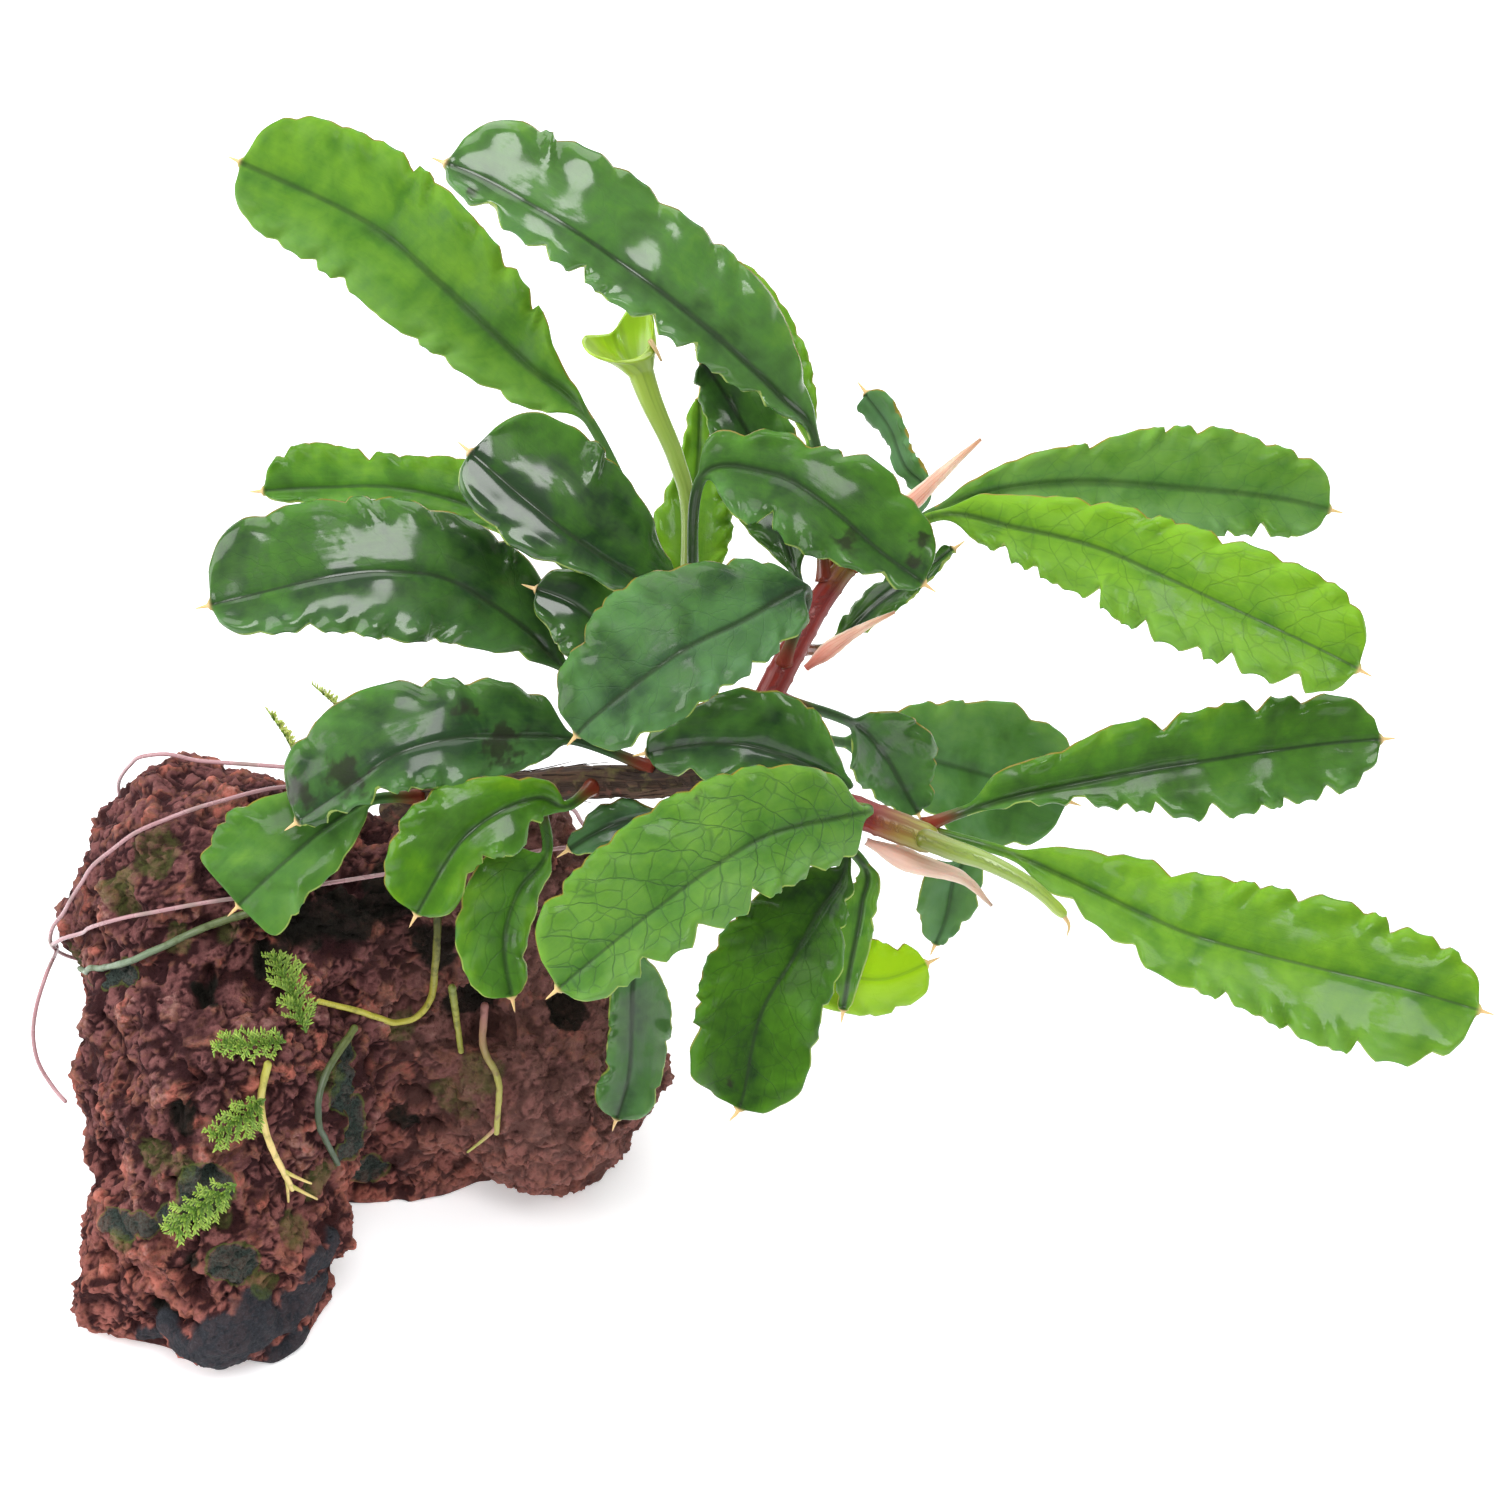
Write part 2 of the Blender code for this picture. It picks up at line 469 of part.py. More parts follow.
def blade_half(b, widths, blunt):
    """The half width at b, from 0 at the blade's foot to 1 at its tip, in millimetres."""
    held = [0.0, 0.0, *widths, widths[-1] * 0.9, widths[-1] * 0.7]
    place = (min(1.0, max(0.0, b)) - WIDTH_STATIONS[0]) / (WIDTH_STATIONS[1] - WIDTH_STATIONS[0]) + 2
    k = min(int(place), len(held) - 3)
    t = place - k
    before, low, high, after = held[k - 1:k + 3]
    out, into = (high - before) / 2, (after - low) / 2
    half = (low * (1 + 2 * t) + out * t) * (1 - t) ** 2 + (high * (3 - 2 * t) - into * (1 - t)) * t * t
    past = max(0.0, (b - TIP_FROM) / (1 - TIP_FROM))
    return half * max(0.0, 1 - past ** (BLUNT_TIP_ROUNDNESS if blunt else TIP_ROUNDNESS)) ** 0.5


def make_leaf(leaf, lines):
    """A petiole and its blade: two sheets that meet in the wavy edge."""
    line = [seen(*place) for place in leaf.line]
    start, _ = stem_point(lines[leaf.stem], leaf.at, line[0], PETIOLE_LIFT)
    blade_length = path_length(line)
    petiole_length = (line[0] - start).length
    waves = max(3, round(blade_length / WAVE_LENGTH))
    rows = PETIOLE_ROWS + 2 * waves + 1
    path = smooth_path([start, *line], LEAF_LINE_POINTS)
    blade_from = petiole_length / (petiole_length + blade_length)
    awn_from = 1 - AWN_LENGTH / (petiole_length + blade_length)
    stops = [blade_from * n / PETIOLE_ROWS for n in range(PETIOLE_ROWS)]
    stops += [blade_from + (awn_from - blade_from) * n / (2 * waves) for n in range(2 * waves - 1)]
    stops += [blade_from + (awn_from - blade_from) * LAST_ROW, awn_from, 1.0]
    bm = bmesh.new()
    bmesh.ops.create_grid(bm, x_segments=rows, y_segments=2, size=0.5)
    top = bm.faces[:]
    under = bmesh.ops.duplicate(bm, geom=bm.verts[:] + bm.edges[:] + top)["geom"]
    under_verts = {item for item in under if isinstance(item, bmesh.types.BMVert)}
    bmesh.ops.reverse_faces(bm, faces=[item for item in under if isinstance(item, bmesh.types.BMFace)])
    for vert in bm.verts:
        row, side = round((vert.co.x + 0.5) * rows), round(2 * vert.co.y)
        s = stops[row]
        place = s * (len(path) - 1)
        k = min(int(place), len(path) - 2)
        centre = path[k].lerp(path[k + 1], place - k)
        along = (path[min(k + 2, len(path) - 1)] - path[max(k - 1, 0)]).normalized()
        across = NEARER.cross(along).normalized()
        face = along.cross(across)
        b = (s - blade_from) / (awn_from - blade_from)
        roll = math.radians(leaf.roll + leaf.twist * max(b, 0))
        turned = across * math.cos(roll) - face * math.sin(roll)
        normal = face * math.cos(roll) + across * math.sin(roll)
        widths = leaf.left if side > 0 else leaf.right
        wave = (-1) ** (row + (side > 0)) if 0 < b < 1 else 0
        half = blade_half(b, widths, leaf.name in BLUNT_LEAVES) * MM * (1 + WAVE_SCALLOP * wave)
        half = max(half, PETIOLE_WIDTH / 2)
        if row >= rows - 1:
            half = AWN_WIDTH / 2
        rise = abs(side) * half * (leaf.fold[0 if side > 0 else 1] + WAVE_HEIGHT * wave)
        vert.co = centre + turned * (side * half) + normal * rise
        if side == 0 and 0 < row < rows:
            thick = PETIOLE_THICKNESS if b <= 0 else BLADE_THICKNESS + MIDRIB_THICKNESS * (1 - min(b, 1))
            vert.co += normal * (thick / 2 * (-1 if vert in under_verts else 1))
    bmesh.ops.remove_doubles(bm, verts=bm.verts[:], dist=WELD)
    add_mesh(leaf.name, bm, leaf.finish)


def make_horns():
    for horn in HORNS:
        path = smooth_path([seen(*place) for place in horn.places], 6)
        tube(horn.name, path, horn.radii, horn.finish)


UNROLLING_FROM = 0.66
UNROLLING_PLACES = ((690, 575, -4), (688, 520, -3), (676, 460, -2), (650, 400, 0), (631, 352, 1),
                    (628, 330, 1))
UNROLLING_RADII = (0.6, 0.6, 0.7, 0.95, 1.7, 1.5)
UNROLLING_LIP = ((634, 352, 1), (618, 344, 2), (600, 344, 3), (584, 338, 3))
UNROLLING_LIP_RADII = (0.7, 0.9, 0.3)


def make_unrolling_leaf(lines):
    """A young leaf that is still rolled into a funnel, with one margin turned out as a lip."""
    places = [seen(*place) for place in UNROLLING_PLACES]
    start, _ = stem_point(lines["shoot_left"], UNROLLING_FROM, places[0], PETIOLE_LIFT)
    funnel = tube("funnel", smooth_path([start, *places[1:]], 11), UNROLLING_RADII, YOUNG_LEAF)
    lip = tube("lip", smooth_path([seen(*place) for place in UNROLLING_LIP], 5), UNROLLING_LIP_RADII,
               YOUNG_LEAF)
    whole = add_object("leaf_unrolling", taken_mesh(funnel), YOUNG_LEAF)
    turned_out = add_object("unrolling_lip", taken_mesh(lip), YOUNG_LEAF)
    turned_out.hide_render = True
    turned_out.display_type = "WIRE"
    join = whole.modifiers.new("join", "BOOLEAN")
    join.operation = "UNION"
    join.object = turned_out


def make_roots(surface):
    for name, pixels in ROOTS.items():
        lift = ROOT_RADIUS + 2 * GAP
        path = lie_on_rock(surface, pixels, lift, ROOT_STEP)
        tube(name, path, (ROOT_RADIUS / MM, ROOT_TIP_RADIUS / MM), ROOT)


def flat_sprig(name, foot, tip, width):
    """A plain leaf-shaped solid that a sprig of moss fills."""
    along = tip - foot
    across = NEARER.cross(along).normalized()
    normal = along.cross(across).normalized()
    bm = bmesh.new()
    bmesh.ops.create_grid(bm, x_segments=4, y_segments=2, size=0.5)
    under = bmesh.ops.duplicate(bm, geom=bm.verts[:] + bm.edges[:] + bm.faces[:])["geom"]
    under_verts = {item for item in under if isinstance(item, bmesh.types.BMVert)}
    bmesh.ops.reverse_faces(bm, faces=[item for item in under if isinstance(item, bmesh.types.BMFace)])
    for vert in bm.verts:
        s, side = vert.co.x + 0.5, round(2 * vert.co.y)
        half = width / 2 * (SPRIG_END + (1 - SPRIG_END) * math.sin(math.pi * s))
        vert.co = foot + along * s + across * (side * half)
        if side == 0 and abs(s - 0.5) < 0.4:
            vert.co += normal * (SPRIG_THICKNESS / 2 * (-1 if vert in under_verts else 1))
    bmesh.ops.remove_doubles(bm, verts=bm.verts[:], dist=WELD)
    add_mesh(name, bm, MOSS)


def make_moss(surface):
    for name, (foot, tip, width) in MOSS_SPRIGS.items():
        lift = SPRIG_THICKNESS + 2 * GAP
        ends = [on_rock(surface, *foot, lift), on_rock(surface, *tip, lift)]
        middle = (ends[0] + ends[1]) / 2
        bulge = kept_clear(surface, [middle], lift + SPRIG_THICKNESS)[0] - middle
        flat_sprig(name, *[end + bulge for end in ends], width * MM)
    for name, (foot, tip, width) in MOSS_TUFTS.items():
        root = rest_on(surface, seen(*foot), SPRIG_THICKNESS + GAP)
        flat_sprig(name, root, seen(*tip), width * MM)


def taut_turn(ground, surface, turn):
    """Points round the rock in one plane, from behind it by way of its right side, held taut."""
    a, b = on_rock(surface, *turn.first, 0), on_rock(surface, *turn.second, 0)
    normal = (b - a).cross(Vector(turn.behind) * MM - a).normalized()
    normal *= 1 if normal.z > 0 else -1
    bm = bmesh.new()
    bm.from_mesh(ground)
    whole = bm.verts[:] + bm.edges[:] + bm.faces[:]
    cut = bmesh.ops.bisect_plane(bm, geom=whole, plane_co=a, plane_no=normal)
    section = [item.co.copy() for item in cut["geom_cut"] if isinstance(item, bmesh.types.BMVert)]
    bm.free()
    back = (Vector((0, 1, 0)) - normal * normal.y).normalized()
    right = back.cross(normal)
    middle = sum(section, Vector()) / len(section)
    flat = [Vector(((p - middle).dot(back), (p - middle).dot(right))) for p in section]
    taut = [flat[k] for k in geometry.convex_hull_2d(flat)]
    points = []
    for step in range(LINE_STEPS):
        angle = 2 * math.pi * step / LINE_STEPS
        way = Vector((math.cos(angle), math.sin(angle)))
        sides = zip(taut, taut[1:] + taut[:1])
        hits = [geometry.intersect_line_line_2d(p, q, Vector((0, 0)), way) for p, q in sides]
        reach = max(hit.length for hit in hits if hit) + turn.stand_off * MM
        points.append(middle + (back * way.x + right * way.y) * reach)
    return points


def make_line(surface):
    """One length of clear line, wound three times round the rock and the rhizome, with a loose bight."""
    rock = bpy.data.objects["lava_rock"]
    rhizome = bpy.data.objects["rhizome"].evaluated_get(bpy.context.evaluated_depsgraph_get())
    bm = bmesh.new()
    bm.from_mesh(rock.data)
    bm.from_mesh(rhizome.to_mesh())
    ground = bpy.data.meshes.new("ground")
    bm.to_mesh(ground)
    around = BVHTree.FromBMesh(bm)
    bm.free()
    turns = [taut_turn(ground, surface, turn) for turn in LINE_TURNS]
    route = []
    for turn, following in zip(turns, turns[1:]):
        for step, (here, there) in enumerate(zip(turn, following)):
            share = max(0.0, (step / LINE_STEPS - 1 + LINE_CHANGE) / LINE_CHANGE)
            route.append(here.lerp(there, share))
    route += turns[-1][:round(LINE_STEPS * LINE_LAST_TURN)]
    route = kept_clear(around, route, LINE_LIFT)
    route += [seen(*place) for place in LINE_BIGHT]
    path = kept_clear(around, smooth_path(route, round(path_length(route) / LINE_SPACING)), LINE_LIFT)
    tube("tie_line", path, (LINE_RADIUS / MM, LINE_RADIUS / MM), LINE, bevel_resolution=0)
    bpy.data.meshes.remove(ground)


def main():
    for obj in list(bpy.data.objects):
        bpy.data.objects.remove(obj)
    surface = make_rock()
    lines = make_stems(surface)
    for leaf in LEAVES:
        make_leaf(leaf, lines)
    make_horns()
    make_unrolling_leaf(lines)
    make_roots(surface)
    make_moss(surface)
    make_line(surface)


main()
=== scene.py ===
"""A bucephalandra on lava rock: the finish of every leaf, stem, root and sprig, and of the rock itself.

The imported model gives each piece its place. Metres, +Z up, in the model's own frame.
"""

import json
import math
import random
from collections import namedtuple

import bmesh
import bpy
from bpy.props import FloatProperty, FloatVectorProperty, IntProperty, PointerProperty
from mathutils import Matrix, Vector, geometry, noise
from mathutils.bvhtree import BVHTree

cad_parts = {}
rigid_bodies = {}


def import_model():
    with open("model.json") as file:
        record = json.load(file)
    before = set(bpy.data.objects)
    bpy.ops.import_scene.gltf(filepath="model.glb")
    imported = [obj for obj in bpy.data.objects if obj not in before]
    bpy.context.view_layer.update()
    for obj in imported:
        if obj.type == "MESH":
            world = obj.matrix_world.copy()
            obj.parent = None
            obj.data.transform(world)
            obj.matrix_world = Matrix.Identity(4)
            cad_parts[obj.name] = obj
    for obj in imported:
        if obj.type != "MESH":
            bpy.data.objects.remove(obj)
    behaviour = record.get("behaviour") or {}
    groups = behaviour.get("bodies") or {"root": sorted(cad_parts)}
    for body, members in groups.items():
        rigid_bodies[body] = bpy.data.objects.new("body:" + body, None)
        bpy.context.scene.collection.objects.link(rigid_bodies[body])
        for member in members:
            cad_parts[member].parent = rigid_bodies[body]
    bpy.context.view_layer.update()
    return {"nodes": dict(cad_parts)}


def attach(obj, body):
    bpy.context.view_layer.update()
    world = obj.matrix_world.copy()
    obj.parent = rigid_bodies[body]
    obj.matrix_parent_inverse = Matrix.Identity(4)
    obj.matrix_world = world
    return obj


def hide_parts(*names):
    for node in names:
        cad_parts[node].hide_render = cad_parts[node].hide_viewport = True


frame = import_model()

bl_info = {
    "name": "Bucephalandra on lava rock",
    "version": (1, 0, 0),
    "blender": (4, 5, 0),
    "location": "3D View > Sidebar > Plant",
    "description": "Makes the leaves, stems, roots, moss and rock of a small water plant",
    "category": "Add Mesh",
}

MM = 0.001
WELD = 0.001 * MM
SEED = 7

# The view in which the places of the pieces were read: from the front, looking down at the plant.
VIEW_TILT = math.radians(45)
VIEW_DISTANCE = 500 * MM
VIEW_CENTRE = Vector((42 * MM, 8 * MM, 55 * MM))
PHOTO_MIDDLE = 750
PIXEL = 0.1 * MM
RIGHT = Vector((1, 0, 0))
UP = Vector((0, math.sin(VIEW_TILT), math.cos(VIEW_TILT)))
NEARER = Vector((0, -math.cos(VIEW_TILT), math.sin(VIEW_TILT)))
SENSOR_WIDTH = 36
PHOTO_WIDTH = 2 * PHOTO_MIDDLE * PIXEL

# Sizes that the leaves, stems, roots and line share.
GAP = 0.35 * MM
STEM_STEP = 3.5 * MM
SHOOT_COLLAR = 1.2 * MM
ROOT_RADIUS = 0.4 * MM
ROOT_TIP_RADIUS = 0.28 * MM
LINE_RADIUS = 0.2 * MM
LINE_LIFT = LINE_RADIUS + 0.85 * MM
TIP_FROM = 0.83
TIP_ROUNDNESS = 3.0
BLUNT_TIP_ROUNDNESS = 14
AWN_LENGTH = 1.6 * MM
LEAF_LINE_POINTS = 300
HORN_STEPS = 60
CURVE_STEPS = 25

# Every place below is (pixels across, pixels down, millimetres nearer the eye than the view's centre).
Stem = namedtuple("Stem", "parent at resting free radii")
STEMS = {
    "rhizome": Stem(None, 0, ((398, 812, -9), (455, 800, -5), (515, 790, -4)),
                    ((585, 782, -1), (650, 782, 1), (712, 774, 2)), (1.5, 1.7)),
    "shoot_right": Stem(None, 0, (),
                        ((722, 777, 2), (762, 785, 4), (810, 798, 5), (862, 814, 6), (925, 838, 7)),
                        (1.7, 1.5)),
    "shoot_left": Stem("rhizome", 0.84, (), ((672, 715, -3), (688, 672, -4), (694, 622, -5)), (1.5, 1.2)),
    "shoot_upper": Stem("shoot_right", 0.12, (),
                        ((765, 706, 3), (790, 655, 3), (825, 594, 2), (862, 548, 0)), (1.6, 1.1)),
}

# A leaf's line runs from the foot of its blade to its tip. Its left and right are the blade's half widths in
# millimetres at WIDTH_STATIONS, to the left and the right of the way that it grows. Its wave is the depth in
# millimetres of the notches in the left and right margins. Its tone runs from 0, dark, to 1, light; its
# painted sheen, a grey laid into its colour, from 0, glossy, to 1, grey.
WIDTH_STATIONS = (0.1, 0.25, 0.4, 0.55, 0.7, 0.85)
Leaf = namedtuple("Leaf", "name stem at line left right roll twist fold wave tone haze")
DARK_LEAVES = (
    Leaf("glossy_left", "shoot_left", 0.76,
         ((676, 602, 2), (630, 574, 5), (575, 538, 8), (530, 503, 9), (457, 441, 10)),
         (1.2, 2.4, 2.6, 4.0, 4.7, 4.3), (3.4, 6.2, 8.0, 8.8, 9.2, 8.2),
         -8, 0, (-0.02, -0.12), (0.5, 0.4), 0.05, 0.1),
    Leaf("far_left", "shoot_left", 0.42,
         ((572, 672, -5), (530, 632, -3), (460, 585, 0), (405, 572, 2), (330, 577, 3), (194, 609, 3)),
         (2.2, 4.8, 6.6, 7.3, 5.9, 4.7), (2.8, 5.8, 6.6, 7.7, 8.1, 8.0),
         -6, 0, (0.08, -0.14), (0.5, 0.35), 0.14, 0.15),
    Leaf("left_small", "shoot_left", 0.28,
         ((625, 662, -1), (600, 627, 1), (570, 602, 2), (521, 584, 2)),
         (1.5, 3.5, 4.5, 4.5, 4.0, 3.0), (1.5, 3.4, 4.3, 4.2, 3.8, 2.8),
         0, 0, (0.12, 0.12), (0.5, 0.4), 0.10, 0.1),
    Leaf("spotted", "shoot_left", 0.96,
         ((700, 481, 9), (770, 473, 12), (830, 508, 13), (880, 552, 12), (937, 593, 11)),
         (3.4, 4.2, 4.7, 6.4, 6.4, 5.6), (3.1, 5.7, 5.2, 5.8, 4.1, 2.6),
         8, 0, (0.02, 0.12), (0.5, 1.0), 0.20, 0.12),
    Leaf("crest", "shoot_upper", 0.78,
         ((815, 442, 3), (780, 396, 6), (710, 331, 10), (610, 255, 13), (500, 187, 15), (430, 157, 15)),
         (1.4, 2.8, 3.6, 4.0, 3.9, 3.6), (2.8, 6.4, 7.7, 7.9, 8.3, 7.5),
         -6, 0, (0.12, -0.20), (1.1, 0.35), 0.30, 0.28),
    Leaf("behind_spotted", "shoot_upper", 0.60,
         ((797, 578, -2), (765, 470, -5), (735, 410, -5), (694, 348, -4)),
         (1.6, 3.6, 4.4, 4.2, 3.6, 2.8), (1.6, 3.6, 4.6, 4.6, 4.0, 3.0),
         5, 0, (0.14, 0.14), (0.8, 0.6), 0.2, 0.2),
    Leaf("centre", "shoot_upper", 0.42,
         ((806, 590, 11), (744, 620, 17), (680, 652, 21), (600, 712, 21), (566, 747, 20)),
         (3.4, 4.4, 5.2, 5.4, 5.6, 4.8), (4.0, 6.6, 7.5, 8.5, 8.3, 6.4),
         -4, 0, (0.12, -0.08), (0.7, 0.35), 0.17, 0.5),
    Leaf("twisted", "shoot_upper", 0.94,
         ((925, 500, -9), (905, 465, -11), (890, 425, -13), (857, 381, -14)),
         (1.0, 1.7, 1.5, 1.6, 2.1, 2.6), (1.0, 2.1, 1.9, 1.8, 2.2, 2.6),
         38, 10, (0.10, 0.10), (0.6, 0.6), 0.3, 0.8),
    Leaf("narrow_dark", "shoot_upper", 0.50,
         ((832, 645, -3), (885, 600, -6), (966, 540, -7)),
         (1.0, 2.0, 2.5, 2.5, 2.0, 1.2), (1.0, 2.0, 2.5, 2.5, 2.0, 1.2),
         40, 0, (0.12, 0.12), (0.4, 0.4), 0.2, 0.1),
    Leaf("back_petioled", "shoot_upper", 0.28,
         ((850, 722, -4), (882, 752, -8), (902, 785, -11), (924, 825, -13)),
         (2.0, 3.9, 4.9, 5.1, 4.5, 3.1), (2.0, 3.9, 4.1, 3.9, 3.3, 2.4),
         8, 0, (0.16, 0.16), (0.5, 0.5), 0.18, 0.3),
    Leaf("centre_under", "shoot_right", 0.42,
         ((848, 785, 9), (800, 762, 10), (744, 745, 11), (690, 745, 10), (632, 756, 8)),
         (1.2, 2.2, 3.0, 3.5, 3.7, 3.0), (2.0, 5.1, 6.0, 5.9, 4.4, 2.9),
         8, 0, (0.10, 0.10), (0.7, 0.8), 0.15, 0.2),
    Leaf("front_down", "shoot_right", 0.50,
         ((846, 862, 7), (816, 916, 11), (792, 960, 14), (760, 1016, 14), (742, 1100, 12), (729, 1122, 12)),
         (2.0, 3.3, 4.9, 5.5, 6.2, 5.8), (3.2, 5.4, 7.0, 7.4, 6.4, 5.9),
         2, 0, (0.06, 0.12), (0.5, 1.1), 0.20, 0.0),
    Leaf("behind_front", "shoot_right", 0.32,
         ((862, 862, -1), (862, 905, -2), (852, 960, -3), (841, 1024, -5)),
         (1.2, 1.6, 1.7, 1.6, 1.4, 1.1), (1.2, 2.0, 2.4, 2.4, 2.0, 1.2),
         -10, 0, (0.10, 0.10), (0.4, 0.5), 0.45, 0.2),
    Leaf("back_low", "shoot_right", 0.74,
         ((958, 850, -10), (952, 885, -13), (945, 920, -16), (930, 956, -18)),
         (1.8, 2.8, 3.1, 2.9, 2.3, 1.5), (2.2, 2.9, 3.3, 3.5, 3.3, 2.3),
         10, 0, (0.12, 0.12), (0.4, 0.4), 0.45, 0.9),
    Leaf("over_rock", "rhizome", 0.84,
         ((575, 740, 2), (504, 736, 6), (450, 739, 9), (396, 755, 10), (353, 784, 10), (284, 831, 9)),
         (2.2, 3.9, 4.9, 4.5, 3.5, 2.2), (4.3, 5.8, 6.2, 7.1, 7.7, 7.0),
         -6, 0, (0.10, -0.16), (0.7, 0.4), 0.14, 0.25),
    Leaf("drooping", "rhizome", 0.12,
         ((372, 800, -1), (330, 825, 2), (285, 862, 3), (227, 917, 3)),
         (1.5, 2.8, 4.0, 4.2, 4.4, 5.2), (2.5, 4.5, 5.5, 6.8, 7.6, 6.9),
         -10, 0, (0.10, 0.10), (0.5, 0.3), 0.42, 0.3),
    Leaf("curled_small", "rhizome", 0.66,
         ((566, 806, 5), (540, 798, 7), (504, 809, 9), (468, 834, 10), (443, 867, 10), (409, 928, 9)),
         (1.9, 3.4, 4.6, 3.6, 2.8, 3.2), (1.6, 2.6, 4.1, 5.7, 6.1, 5.3),
         4, 0, (0.12, 0.12), (0.9, 0.5), 0.38, 0.0),
    Leaf("tucked", "rhizome", 0.92,
         ((660, 812, 1), (620, 822, 0), (590, 836, 0), (556, 858, 0)),
         (1.0, 2.0, 2.5, 2.5, 2.2, 1.6), (1.0, 2.0, 2.4, 2.4, 2.0, 1.4),
         0, 0, (0.12, 0.12), (0.4, 0.4), 0.12, 0.6),
    Leaf("hanging", "rhizome", 0.98,
         ((642, 930, -3), (633, 980, -6), (631, 1030, -9), (628, 1080, -11), (612, 1132, -13)),
         (0.9, 2.8, 4.0, 4.2, 3.7, 3.4), (0.9, 2.2, 2.4, 2.5, 2.6, 3.2),
         10, 0, (0.12, 0.12), (0.5, 0.7), 0.28, 0.6),
)
BRIGHT_LEAVES = (
    Leaf("pale_upper_left", "shoot_left", 0.98,
         ((592, 425, -13), (525, 362, -16), (440, 283, -19), (365, 221, -22), (227, 156, -25)),
         (3.0, 5.0, 6.2, 7.0, 7.0, 6.3), (1.6, 5.2, 7.0, 7.7, 8.3, 7.8),
         5, 0, (0.12, 0.12), (0.6, 0.6), 0.55, 0.15),
    Leaf("far_left_back", "shoot_left", 0.58,
         ((560, 560, -9), (480, 510, -12), (400, 488, -12), (330, 487, -14), (248, 492, -15)),
         (1.2, 1.5, 2.0, 2.1, 2.1, 1.8), (1.2, 3.9, 4.5, 3.6, 4.0, 4.8),
         -12, 0, (0.10, 0.10), (0.4, 0.5), 0.45, 0.1),
    Leaf("upright_young", "shoot_left", 0.88,
         ((692, 592, -8), (693, 520, -9), (699, 450, -11), (700, 384, -12)),
         (2.6, 4.0, 4.0, 2.7, 2.0, 1.6), (2.6, 4.0, 4.1, 2.8, 2.0, 1.6),
         0, 0, (0.10, 0.10), (0.6, 0.6), 0.7, 0.1),
    Leaf("behind_crest", "shoot_upper", 0.88,
         ((812, 447, -10), (794, 370, -12), (768, 310, -13), (728, 252, -14)),
         (1.0, 2.0, 2.6, 2.6, 2.2, 1.6), (0.9, 1.6, 1.9, 1.9, 1.8, 1.5),
         -8, 0, (0.12, 0.12), (0.3, 0.3), 0.6, 0.1),
    Leaf("right_top", "shoot_upper", 0.98,
         ((933, 513, -2), (983, 494, -4), (1042, 484, -5), (1116, 483, -7), (1264, 496, -10),
          (1344, 513, -12)),
         (1.5, 3.2, 4.2, 6.1, 6.6, 5.4), (1.0, 2.0, 3.0, 4.1, 4.7, 4.2),
         -6, 0, (0.08, 0.08), (0.8, 0.9), 0.60, 0.45),
    Leaf("right_bright", "shoot_upper", 0.90,
         ((936, 516, 5), (1017, 528, 7), (1096, 547, 9), (1165, 577, 11), (1313, 646, 13), (1373, 677, 13)),
         (2.6, 3.9, 4.9, 5.9, 6.6, 6.6), (2.3, 4.4, 5.4, 6.3, 5.9, 5.3),
         4, 0, (0.08, 0.08), (0.4, 1.4), 0.75, 0.1),
    Leaf("back_broad", "shoot_upper", 0.14,
         ((840, 742, -14), (900, 752, -20), (960, 768, -25), (1020, 785, -28), (1082, 806, -29)),
         (2.1, 4.4, 6.3, 7.3, 8.2, 7.1), (1.3, 2.6, 4.2, 6.5, 7.6, 6.5),
         0, 0, (0.10, 0.10), (0.6, 0.6), 0.4, 0.5),
    Leaf("right_middle", "shoot_right", 0.97,
         ((962, 812, 5), (1017, 796, 5), (1096, 780, 5), (1165, 767, 5), (1313, 745, 2), (1397, 738, 1)),
         (2.8, 3.8, 5.3, 5.3, 5.6, 5.2), (1.0, 2.1, 4.0, 6.0, 5.9, 5.5),
         -6, 0, (0.04, 0.10), (0.7, 0.8), 0.35, 0.1),
    Leaf("right_low", "shoot_right", 0.88,
         ((1002, 851, 5), (1067, 878, 7), (1141, 913, 10), (1215, 942, 13), (1412, 991, 15),
          (1495, 1015, 15)),
         (2.6, 4.9, 6.1, 6.8, 7.1, 5.9), (1.8, 3.3, 5.0, 5.8, 7.4, 7.6),
         4, 0, (-0.04, 0.10), (0.6, 0.9), 0.65, 0.1),
    Leaf("front_broad", "shoot_right", 0.60,
         ((866, 812, 12), (776, 832, 21), (712, 868, 24), (652, 912, 24), (592, 960, 24), (545, 1000, 24)),
         (4.0, 4.9, 5.6, 5.6, 5.0, 4.2), (4.0, 6.0, 7.3, 8.1, 8.1, 7.5),
         0, 0, (0.10, -0.02), (0.9, 0.35), 0.52, 0.3),
    Leaf("small_hanging", "rhizome", 0.48,
         ((547, 852, 3), (518, 892, 5), (504, 946, 6), (515, 1013, 6)),
         (1.4, 2.0, 2.5, 2.4, 2.3, 2.1), (2.8, 4.5, 5.0, 5.1, 4.8, 3.9),
         6, 0, (0.10, 0.10), (0.5, 0.4), 0.4, 0.1),
)
YOUNG_LEAVES = (
    Leaf("young_bright", "shoot_right", 0.20,
         ((775, 930, -4), (815, 962, -7), (850, 976, -8), (890, 978, -8), (941, 957, -8)),
         (1.0, 2.2, 3.2, 3.8, 4.2, 3.5), (1.5, 3.0, 3.8, 3.8, 3.8, 3.2),
         0, 0, (0.08, 0.08), (0.5, 0.6), 0.5, 0.0),
)
BLUNT_LEAVES = ("drooping",)

